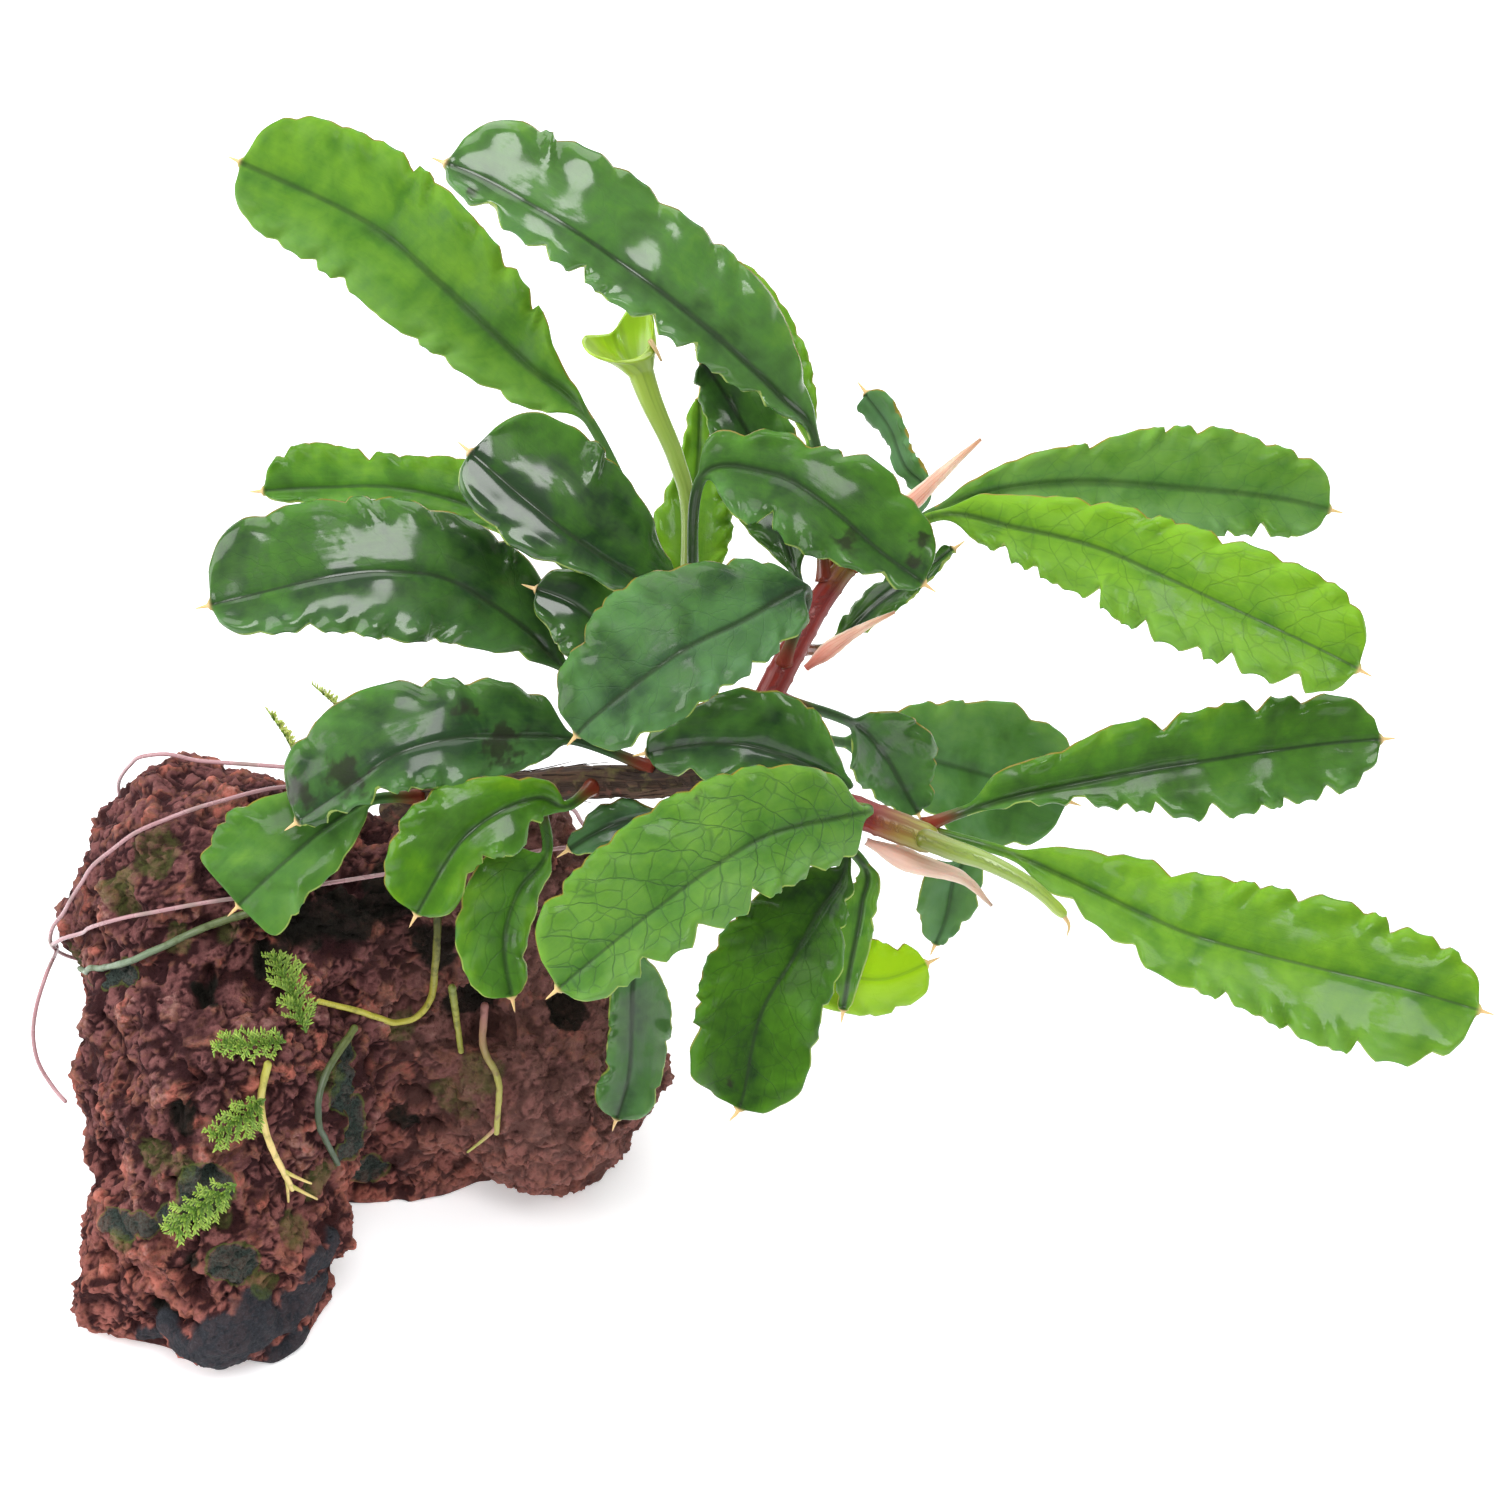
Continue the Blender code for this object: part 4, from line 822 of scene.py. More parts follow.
class PlantStemSizes(bpy.types.PropertyGroup):
    """The stems' and sheaths' thickness and colours."""

    ring: length_field("Ring spacing", "Distance between the rings on a stem", 2.6 * MM)
    ring_height: length_field("Ring height", "How far a ring stands out", 0.12 * MM)
    fibre: length_field("Fibre", "Radius of the dead fibres on the rhizome", 0.09 * MM)
    red: colour_field("Red stem", "Colour of the young stems", (0.22, 0.019, 0.013))
    wine: colour_field("Wine stem", "Colour of the older stems", (0.115, 0.008, 0.012))
    olive: colour_field("Olive stem", "Colour of the stems' green ends", (0.26, 0.26, 0.035))
    bark: colour_field("Bark", "Colour of the rhizome", (0.11, 0.055, 0.030))
    sheath: colour_field("Sheath", "Colour of the papery sheaths", (0.68, 0.33, 0.25))


class PlantMossSizes(bpy.types.PropertyGroup):
    """The moss and the tie line."""

    leaflet: length_field("Leaflet", "Length of one leaflet of moss", 0.85 * MM)
    spacing: length_field("Spacing", "Distance between leaflets along a sprig", 0.15 * MM)
    branch: length_field("Branch spacing", "Distance between the side sprigs of a frond", 0.55 * MM)
    fresh: colour_field("Fresh moss", "Colour of the moss's tips", (0.42, 0.58, 0.10))
    deep: colour_field("Deep moss", "Colour of the moss's inner leaflets", (0.09, 0.19, 0.02))
    pale: colour_field("Pale moss", "Colour of the bleached moss behind the rock", (0.62, 0.62, 0.22))
    line: colour_field("Line", "Colour of the tie line", (0.52, 0.29, 0.31))


class PlantStageSizes(bpy.types.PropertyGroup):
    """The floor and the light."""

    floor: colour_field("Floor", "Colour of the floor", (0.90, 0.90, 0.92))
    glow: strength_field("Glow", "Strength of the floor's own light", 0.42)
    softbox: length_field("Softbox", "Edge of the light above the camera", 0.36)
    power: strength_field("Power", "Power of the light above the camera in watts", 3.3)
    left: strength_field("Left", "Power of the broad light at the left in watts", 7.4)
    back: strength_field("Back", "Power of the broad light behind in watts", 6.6)
    sky: strength_field("Sky", "Strength of the light from all round", 0.30)


def rock_surface():
    """The CAD rock's surface, for finding places on it."""
    return BVHTree.FromBMesh(cad_mesh("lava_rock"))


def on_rock(surface, across, down, lift):
    """The point of the rock that the view shows at a pixel, lifted off it; None beside the rock."""
    eye = VIEW_CENTRE + NEARER * VIEW_DISTANCE
    ray = (seen(across, down, 0) - eye).normalized()
    point, normal, _, _ = surface.ray_cast(eye, ray)
    return point and point + (normal + NEARER).normalized() * lift


def kept_clear(surface, path, lift):
    """The path, with each point that comes closer than lift to the surface moved out to it."""
    clear = []
    for point in path:
        for _ in range(4):
            near, normal, _, distance = surface.find_nearest(point)
            if distance < lift or (point - near).dot(normal) < 0:
                point = near + normal * lift
        clear.append(point)
    return clear


def rest_on(surface, point, lift):
    """The point of the rock nearest to a point, lifted off it."""
    near, normal, _, _ = surface.find_nearest(point)
    return near + normal * lift


def stem_point(line, at, towards, lift):
    """A point off the skin of a stem, on the side that faces what grows there, and the way out to it."""
    path, radii = line
    centre, k = point_along(path, at)
    along = (path[k + 1] - path[k]).normalized()
    out = towards - centre
    out = (out - along * out.dot(along)).normalized()
    radius = (radii[0] + (radii[1] - radii[0]) * at) * MM
    return centre + out * (radius + lift), out


def stem_lines():
    """The line that the rhizome and each shoot follow, as in the CAD model, with their radii."""
    surface = rock_surface()
    lines = {}
    for name, stem in STEMS.items():
        lift = max(stem.radii) * MM + GAP
        points = [rest_on(surface, seen(*place), lift) for place in stem.resting]
        points += [seen(*place) for place in stem.free]
        if stem.parent:
            foot, out = stem_point(lines[stem.parent], stem.at, points[0], GAP)
            points = [foot, foot + out * SHOOT_COLLAR, *points]
        path = smooth_path(points, round(path_length(points) / STEM_STEP))
        if stem.resting:
            path = kept_clear(surface, path, lift)
        lines[name] = (path, stem.radii)
    return lines


# The crust's crumbs: their spacing in millimetres and their share of the crumbs' height. The broken bubbles:
# their spacing in millimetres and how many of those heights deep they are.
CRUMBS = ((3.2, 0.34), (1.5, 0.30), (0.85, 0.16))
BUBBLES = ((4.6, 1.1), (2.3, 0.8))
BUBBLE_WIDTH = 0.46
SOFTENING_ROUNDS = 12
LUMP_SPACING = 6 * MM
WARPS = ((2.4 * MM, 0.9 * MM), (1.0 * MM, 0.35 * MM))
STANDING_FROM, STANDING_TO = 0.2 * MM, 2.2 * MM
# Where the painted shade on the right side starts and where it is full, across.
SHADED_SIDE_FROM, SHADED_SIDE_TO = 2 * MM, 14 * MM
# Where the painted light on the lower part is none and where it is full, in height.
LIGHTENED_LOW_FROM, LIGHTENED_LOW_TO = 26 * MM, 4 * MM


def rock_finish(sizes):
    """Rusty lava: brick, brown and plum crust, algae, pale raised crumbs with wear and a painted highlight,
    painted shade in the pits, on the right side and on the dark foot, a painted shadow under the leaves and
    painted light low down.
    """
    f = Finish("rusty_lava", {"Roughness": 0.85, "Specular IOR Level": 0.12})
    pits, edges, foot = f.attribute("relief")
    # Algae film, green algae, and painted shade on the right side.
    dark, green, shade = f.attribute("growth")
    # The crumbs' own hue, the painted shadow under the leaves, and painted light on the lower part.
    hue, leaf_shadow, fresh = f.attribute("crumb")
    patches = f.noise(8 * MM, detail=3)
    blots = f.noise(2.6 * MM, detail=4, roughness=0.6)
    speckle = f.noise(0.9 * MM, detail=5, roughness=0.65)
    grit = f.noise(0.28 * MM, detail=3, roughness=0.7)
    pores = f.cells(0.75 * MM, "F1")
    level = f.total((patches, 0.6), (blots, 0.7), (speckle, 0.5), (hue, 0.30), (1.0, -0.42))
    crust = f.ramp(level, (0.28, sizes.plum), (0.44, sizes.brown), (0.56, sizes.rust), (0.72, sizes.ember))
    # Painted light: the lower part brightened towards ember.
    crust = f.blend(fresh, crust, sizes.ember)
    crust = f.over(crust, sizes.hollow, speckle, 0.40, 0.28, 0.55)
    # Paler on the raised crumbs: wear, with a painted highlight.
    worn_and_lit = f.times(f.ranged(speckle, 0.42, 0.62), f.ranged(edges, 0.2, 0.9, 0.10, 0.60))
    crust = f.blend(worn_and_lit, crust, sizes.ash)
    crust = f.over(crust, sizes.ash, grit, 0.58, 0.72, 0.30)
    crust = f.over(crust, sizes.hollow, pores, 0.36, 0.10, 0.45)
    # Painted shade: the pits darkened by their depth.
    crust = f.over(crust, sizes.hollow, pits, 0.15, 0.95, 0.94)
    # Painted shade on the right side, broken up by the blots.
    crust = f.blend(f.times(shade, f.ranged(blots, 0.3, 0.7, 0.9, 0.4)), crust, sizes.shaded_side_colour)
    crust = f.over(crust, sizes.hollow, blots, 0.40, 0.28, 0.35)

    def cover(growth, share, in_blots, in_speckle, less):
        """How fully algae, the painted shadow under the leaves or the painted shade of the foot cover the
        crust, ragged as the blots and the speckle are.
        """
        return f.total((growth, share), (blots, in_blots), (speckle, in_speckle), (1.0, -less))

    # Painted shadow where the leaves shade the rock.
    crust = f.over(crust, sizes.leaf_shadow, cover(leaf_shadow, 1.3, 1.2, 0.6, 1.35), 0.15, 0.85, 0.94)
    # Painted shade: the dark bluish-grey foot near the floor.
    foot_shade = f.over(sizes.foot_shade, [part * 2.2 for part in sizes.foot_shade], grit, 0.45, 0.7, 0.5)
    crust = f.over(crust, foot_shade, cover(foot, 1.2, 0.4, 0.4, 0.47), 0.0, 0.85, 0.95)
    film = f.over(sizes.algae, [part * 0.4 for part in sizes.algae], grit, 0.4, 0.65, 1.0)
    filmed = cover(dark, 1.4, 0.8, 0.9, 1.25)
    rim = f.times(f.ranged(filmed, -0.05, 0.25), f.ranged(filmed, 0.55, 0.30, 0.0, 0.6))
    crust = f.over(crust, film, filmed, 0.05, 0.85, 0.85)
    crust = f.blend(rim, crust, sizes.green)
    crust = f.over(crust, sizes.green, cover(green, 1.0, 0.8, 1.1, 1.32), 0.20, 0.90, 0.55)
    roughness = f.ranged(speckle, 0.3, 0.7, 0.6, 0.95)
    relief = f.total((speckle, 0.50), (grit, 0.35), (f.ranged(pores, 0.05, 0.5), 0.25))
    return f.done(crust, roughness, relief)


def near_places(surface, places):
    """The rock's points at pixels, each with the sizes in metres that follow the pixel."""
    found = []
    for across, down, *rest in places:
        point = on_rock(surface, across, down, 0)
        if point:
            found.append((point, [size * MM for size in rest]))
    return found


def cover_at(point, places, wobble):
    """How fully growths centred on places cover a point, from 0 to 1."""
    best = 0.0
    for centre, (radius,) in places:
        best = max(best, 1 - (point - centre).length / radius / (1 + wobble))
    return min(1.0, max(0.0, best * 2.6))


def make_rock(sizes):
    """The rock, with crumbs, gas pits and crevices cut into the CAD solid's form."""
    noise.seed_set(SEED)
    surface = rock_surface()
    blank = add_object("rock_blank", mesh_from("rock_blank", cad_mesh("lava_rock")))
    remesh = blank.modifiers.new("grain", "REMESH")
    remesh.mode = "VOXEL"
    remesh.voxel_size = sizes.voxel
    soften = blank.modifiers.new("soften", "SMOOTH")
    soften.iterations = SOFTENING_ROUNDS
    graph = bpy.context.evaluated_depsgraph_get()
    mesh = bpy.data.meshes.new_from_object(blank.evaluated_get(graph))
    bpy.data.objects.remove(blank)
    bm = bmesh.new()
    bm.from_mesh(mesh)
    bpy.data.meshes.remove(mesh)
    bm.normal_update()
    relief, growth, crumb = new_layers(bm, "relief", "growth", "crumb")
    holes = near_places(surface, ROCK_HOLES)
    # The algae, the painted shadow under the leaves and the painted shade of the foot.
    dark, green, leaf_shadow, foot_shade = (near_places(surface, places)
                                for places in (DARK_ALGAE, GREEN_ALGAE, SHADOW_UNDER_LEAVES, SHADED_FOOT))
    starts = [vert.co.copy() for vert in bm.verts]
    normals = [vert.normal.copy() for vert in bm.verts]
    for vert, start, normal in zip(bm.verts, starts, normals):
        standing = eased(start.z, STANDING_FROM, STANDING_TO)
        lumps = noise.fractal(start / LUMP_SPACING, 0.9, 2.0, 3)
        warp = sum((noise.noise_vector(start / spacing) * reach for spacing, reach in WARPS), Vector())
        height = sizes.lump * lumps
        deepest, hue = 0.0, 0.0
        for spacing, depth in CRUMBS:
            distances, points = noise.voronoi((start + warp) / (spacing * MM))
            inside = eased(distances[1] - distances[0], 0.0, 0.42)
            own = noise.cell(points[0] * 5.1 + Vector((2, 9, 4)))
            height += sizes.crumb * depth * (inside - 0.6 + 0.9 * (own - 0.5))
            deepest = max(deepest, (0.75 - inside) * (1 - own) * depth / CRUMBS[0][1])
            hue += (own - 0.5) * inside
        for spacing, depth in BUBBLES:
            distances, points = noise.voronoi((start - warp * 0.8) / (spacing * MM))
            wide = BUBBLE_WIDTH * max(0.0, noise.cell(points[0] * 7.3 + Vector((5, 3, 1))) - 0.35)
            if distances[0] < wide:
                sunken = (1 - (distances[0] / wide) ** 2) ** 0.5
                height -= sizes.crumb * depth * sunken
                deepest = max(deepest, sunken)
        for centre, (radius, depth) in holes:
            away = (start + warp * 1.2 - centre).length / radius
            if away < 1:
                sunken = (1 - away * away) ** 0.6
                height -= depth * sunken
                deepest = max(deepest, sunken ** 0.5)
        wobble = 0.45 * noise.noise(start / (1.7 * MM))
        foot = cover_at(start, foot_shade, wobble)
        # Painted shade on the right side, under the leaves.
        dull = 0.70 * eased(start.x + 3 * MM * lumps, SHADED_SIDE_FROM, SHADED_SIDE_TO)
        # The pits' depth for their painted shade, how raised the crust is for its wear and painted highlight,
        # and the foot's painted shade.
        vert[relief] = Vector((deepest, eased(height, -0.2 * MM, 0.6 * MM), foot))
        filmed, greened = cover_at(start, dark, wobble + 0.5), cover_at(start, green, wobble + 0.4)
        vert[growth] = Vector((filmed, greened, dull))
        # Painted light on the lower part; in the crumb layer too, the painted shadow under the leaves.
        fresh = 0.45 * eased(start.z, LIGHTENED_LOW_FROM, LIGHTENED_LOW_TO)
        vert[crumb] = Vector((hue, cover_at(start, leaf_shadow, wobble), fresh))
        height *= 1 - 0.75 * foot
        vert.co = start + normal * (height * standing)
        vert.co.z = max(vert.co.z, 0.0)
    faced_outwards(bm)
    add_piece("lava_stone", bm, rock_finish(sizes), "lava_rock")


def fine_rock():
    """The finished rock's surface."""
    bm = bmesh.new()
    bm.from_mesh(bpy.data.objects["lava_stone"].data)
    return BVHTree.FromBMesh(bm)


def leaf_finish(name, colours, sizes, stems):
    """A leaf's skin: side veins and a fine net, a dark midrib, a thin rim with a painted backlit fringe where
    the margin faces up, wet patches, and a painted sheen of grey, more on halves whose margin points down.
    """
    f = Finish(name, {"IOR": 1.42, "Specular IOR Level": 0.18, "Coat Roughness": 0.13},
               (0.12, (0.35, 1.0, 0.12), 0.6))
    dark, middle, light = colours
    x, y, under = f.attribute("blade")
    tone, haze, stain = f.attribute("look")
    edge, red, awn = f.attribute("ends")
    upward, veined, low = f.attribute("margin")
    # How far a margin faces up, for its painted fringe; how veined the leaf is; how far a half faces down,
    # for its painted sheen.
    gloss, rib_breadth, rib_depth = f.attribute("skin")
    side = f.maths("ABSOLUTE", y)
    wander = f.noise(3.5 * MM, detail=2)
    mottle = f.noise(1.8 * MM, detail=4)
    grain = f.noise(0.30 * MM, detail=2)
    film = f.noise(6.5 * MM, detail=3, distortion=0.6)
    curve = f.times(f.times(side, side), 55.0)
    run = f.total((x, 1.0), (side, -0.75), (curve, -1.0), (wander, 3.0 * MM))
    turns = f.maths("DIVIDE", run, sizes.vein)
    vein = f.ranged(f.maths("PINGPONG", turns, 0.5), 0.0, 0.035, 1.0, 0.0)
    flat = f.vector(f.total((x, 0.75), (wander, 1.2 * MM)), f.total((y, 1.0), (mottle, 0.9 * MM)))
    net = f.ranged(f.cells(1.7 * MM, place=flat), 0.0, 0.055, 1.0, 0.0)
    fine = f.noise(0.30 * MM, place=f.vector(f.times(x, 0.05), y), detail=2)
    lines = f.maths("MAXIMUM", vein, f.times(net, 0.6))
    lines = f.times(lines, f.ranged(edge, 0.4 * MM, 1.6 * MM))
    level = f.total((tone, 1.0), (mottle, 0.40), (1.0, -0.20), (f.ranged(edge, 2.4 * MM, 0.2 * MM), 0.14),
                    (film, 0.95), (1.0, -0.475), (f.ranged(side, 2.4 * MM, 0.3 * MM), -0.12), (fine, 0.10))
    colour = f.ramp(level, (0.0, dark), (0.45, middle), (0.95, light))
    colour = f.blend(f.times(lines, f.times(veined, 0.6)), colour, dark)
    # Painted sheen: grey laid into the colour, per leaf and on halves whose margin points down.
    grey = f.times(haze, f.ranged(film, 0.35, 0.65, 0.3, 0.8))
    grey = f.maths("ADD", grey, f.times(low, f.ranged(film, 0.3, 0.7, 0.05, 0.30)), clamp=True)
    colour = f.blend(grey, colour, sizes.haze)
    breadth = f.times(f.ranged(x, 0.0, 40 * MM, 0.44 * MM, 0.22 * MM), rib_breadth)
    rib = f.times(f.ranged(f.maths("DIVIDE", side, breadth), 0.25, 1.0, 1.0, 0.0), rib_depth)
    colour = f.blend(rib, colour, f.blend(0.35, dark, sizes.midrib))
    colour = f.blend(f.times(under, 0.5), colour, sizes.haze)
    blot = f.ranged(f.total((stain, 1.0), (mottle, 0.9), (1.0, -0.45)), 0.3, 0.75, 0.0, 0.8)
    colour = f.blend(f.times(blot, f.ranged(stain, 0.0, 0.2)), colour, (0.016, 0.013, 0.010))
    # The thin pale rim is the leaf's own; the orange on margins that face up is a painted backlit fringe.
    rim = f.blend(f.ranged(upward, -0.2, 0.5), sizes.rim, (0.26, 0.17, 0.02))
    colour = f.over(colour, rim, edge, 0.20 * MM, 0.07 * MM, 0.85)
    colour = f.blend(red, colour, stems.red)
    colour = f.blend(awn, colour, sizes.awn)
    dry = f.total((film, 1.0), (mottle, 0.16), (fine, 0.14), (grain, 0.06), (gloss, -0.16), (1.0, 0.08))
    wet = f.times(f.ranged(dry, 0.73, 0.62, 0.10, 1.0), gloss)
    f.feed(f.shader.inputs["Coat Weight"], f.times(wet, f.ranged(under, 0.0, 1.0, 1.0, 0.4)))
    roughness = f.total((mottle, 0.10), (grain, 0.10), (1.0, 0.40))
    relief = f.total((f.times(lines, veined), -0.05), (grain, 0.008), (mottle, 0.06), (fine, 0.02))
    return f.done(colour, roughness, relief)


def blade_half(b, widths, blunt):
    """The half width at b, from 0 at the blade's foot to 1 at its tip, in millimetres."""
    held = [0.0, 0.0, *widths, widths[-1] * 0.9, widths[-1] * 0.7]
    place = (min(1.0, max(0.0, b)) - WIDTH_STATIONS[0]) / (WIDTH_STATIONS[1] - WIDTH_STATIONS[0]) + 2
    k = min(int(place), len(held) - 3)
    t = place - k
    before, low, high, after = held[k - 1:k + 3]
    out, into = (high - before) / 2, (after - low) / 2
    half = (low * (1 + 2 * t) + out * t) * (1 - t) ** 2 + (high * (3 - 2 * t) - into * (1 - t)) * t * t
    past = max(0.0, (b - TIP_FROM) / (1 - TIP_FROM))
    return half * max(0.0, 1 - past ** (BLUNT_TIP_ROUNDNESS if blunt else TIP_ROUNDNESS)) ** 0.5


Station = namedtuple("Station", "share blade centre across normal halves x")
Lobe = namedtuple("Lobe", "start end dip_before dip_after crest valley_before valley_after")
NOTCH_ROUNDING = 0.30 * MM
NOTCH_STEEPNESS = 0.66
NOTCH_GAIN = 1.7
DEEPEST_NOTCH = 0.45
SCALLOP = 0.30
TIP_ROWS = 12
AWN_ROWS = 6
AWN_RADII = (0.24 * MM, 0.04 * MM)
STALK_FLARE = 0.8
STALK_FLARE_LENGTH = 1.3 * MM
RED_STALK_LENGTH = 5.0 * MM
GROOVE_WIDTH = 0.30 * MM
KEEL_WIDTH = 0.42 * MM
FAINT_VEINS = 0.12


def measured_cuts(notches, stations):
    """Where each measured notch lies along the blade, with its depth."""
    cuts = []
    for across, down, depth in notches:
        spot = Vector((across, down))
        x = min(((pixel_of(at.centre) - spot).length, at.x) for at in stations if at.blade >= 0)[1]
        cuts.append((x, depth * 0.1 * MM))
    return sorted(cuts)


def margin_lobes(rng, length, spacing, depth, ruffle, known):
    """The lobes of one margin, with the depth of each notch and the height of each wave."""
    cuts = [(-rng.uniform(0, spacing), depth)]
    for x, dip in [*known, (length + 2 * spacing, depth)]:
        while x - cuts[-1][0] > 1.75 * spacing:
            share = 0.25 if known else 1.0
            step = spacing * rng.uniform(0.75, 1.6)
            cuts.append((cuts[-1][0] + step, share * depth * rng.uniform(0.3, 1.3)))
        cuts.append((x, dip))
    valleys = [-ruffle * rng.uniform(0.3, 0.9) - 0.25 * dip for _, dip in cuts]
    lobes = []
    for k in range(len(cuts) - 1):
        crest = ruffle * rng.uniform(0.5, 1.3) * (1 if rng.random() < 0.85 else -0.5)
        (start, before), (end, after) = cuts[k:k + 2]
        lobes.append(Lobe(start, end, before, after, crest, valleys[k], valleys[k + 1]))
    return lobes


def margin_at(lobes, x):
    """The notch depth and the height of a margin at a distance from the blade's base."""
    lobe = next((item for item in lobes if item.start <= x < item.end), lobes[-1])
    span = max(lobe.end - lobe.start, 0.1 * MM)
    t = min(1.0, max(0.0, (x - lobe.start) / span))
    first = t < 0.5
    bulge = math.sin(math.pi * t)
    away = min(0.5, math.hypot(t if first else 1 - t, NOTCH_ROUNDING / span))
    dip = lobe.dip_before if first else lobe.dip_after
    dip *= NOTCH_GAIN * (1 - math.sin(math.pi * away) ** NOTCH_STEEPNESS)
    valley = lobe.valley_before if first else lobe.valley_after
    dip -= SCALLOP * (lobe.dip_before + lobe.dip_after) / 2 * bulge
    return dip, mix(valley, lobe.crest, bulge ** 0.85)


def leaf_stops(blade_from, awn_from, length, row):
    """How far along its line each row of a leaf stands, closer together where the tip rounds off."""
    stalk = max(4, round(blade_from * length / (row * 1.5)))
    stops = [0.0, 0.3 * row / length] + [blade_from * n / stalk for n in range(1, stalk)]
    round_from = mix(blade_from, awn_from, 0.92)
    body = round((round_from - blade_from) * length / row)
    stops += [mix(blade_from, round_from, n / body) for n in range(body)]
    stops += [mix(awn_from, round_from, (1 - n / TIP_ROWS) ** 2) for n in range(TIP_ROWS)]
    stops += [mix(awn_from, 1.0, n / AWN_ROWS) for n in range(AWN_ROWS + 1)]
    return stops


def column_share(t):
    """Where a column stands between the midrib and the margin, denser at both."""
    away = abs(t)
    return math.copysign(0.4 * away + 0.6 * (0.5 - 0.5 * math.cos(math.pi * away)), t)


def leaf_stations(leaf, path, stops, blade_from, awn_from, length):
    """A leaf's sections: where each stands on its line and blade, its centre, ways and half widths."""
    stations = []
    for s in stops:
        centre, k = point_along(path, s)
        along = (path[min(k + 3, len(path) - 1)] - path[max(k - 2, 0)]).normalized()
        across = NEARER.cross(along).normalized()
        face = along.cross(across)
        b = (s - blade_from) / (awn_from - blade_from)
        roll = math.radians(leaf.roll + leaf.twist * max(b, 0))
        turned = across * math.cos(roll) - face * math.sin(roll)
        normal = face * math.cos(roll) + across * math.sin(roll)
        halves = [blade_half(b, widths, leaf.name in BLUNT_LEAVES) * MM for widths in (leaf.left, leaf.right)]
        stations.append(Station(s, b, centre, turned, normal, halves, (s - blade_from) * length))
    return stations


def stain_at(leaf, point, spot):
    """How deep in one of a leaf's ragged stains a point lies, up to 1; 0 outside them."""
    stained = 0.0
    for across, down, radius in STAINS.get(leaf.name, ()):
        gap = (pixel_of(point) - Vector((across, down))).length * PIXEL / (radius * MM)
        gap *= max(0.6, 1 + 1.2 * noise.noise(spot / 1.6) + 0.9 * noise.noise(spot / 0.6))
        stained = max(stained, 1 - gap)
    return stained


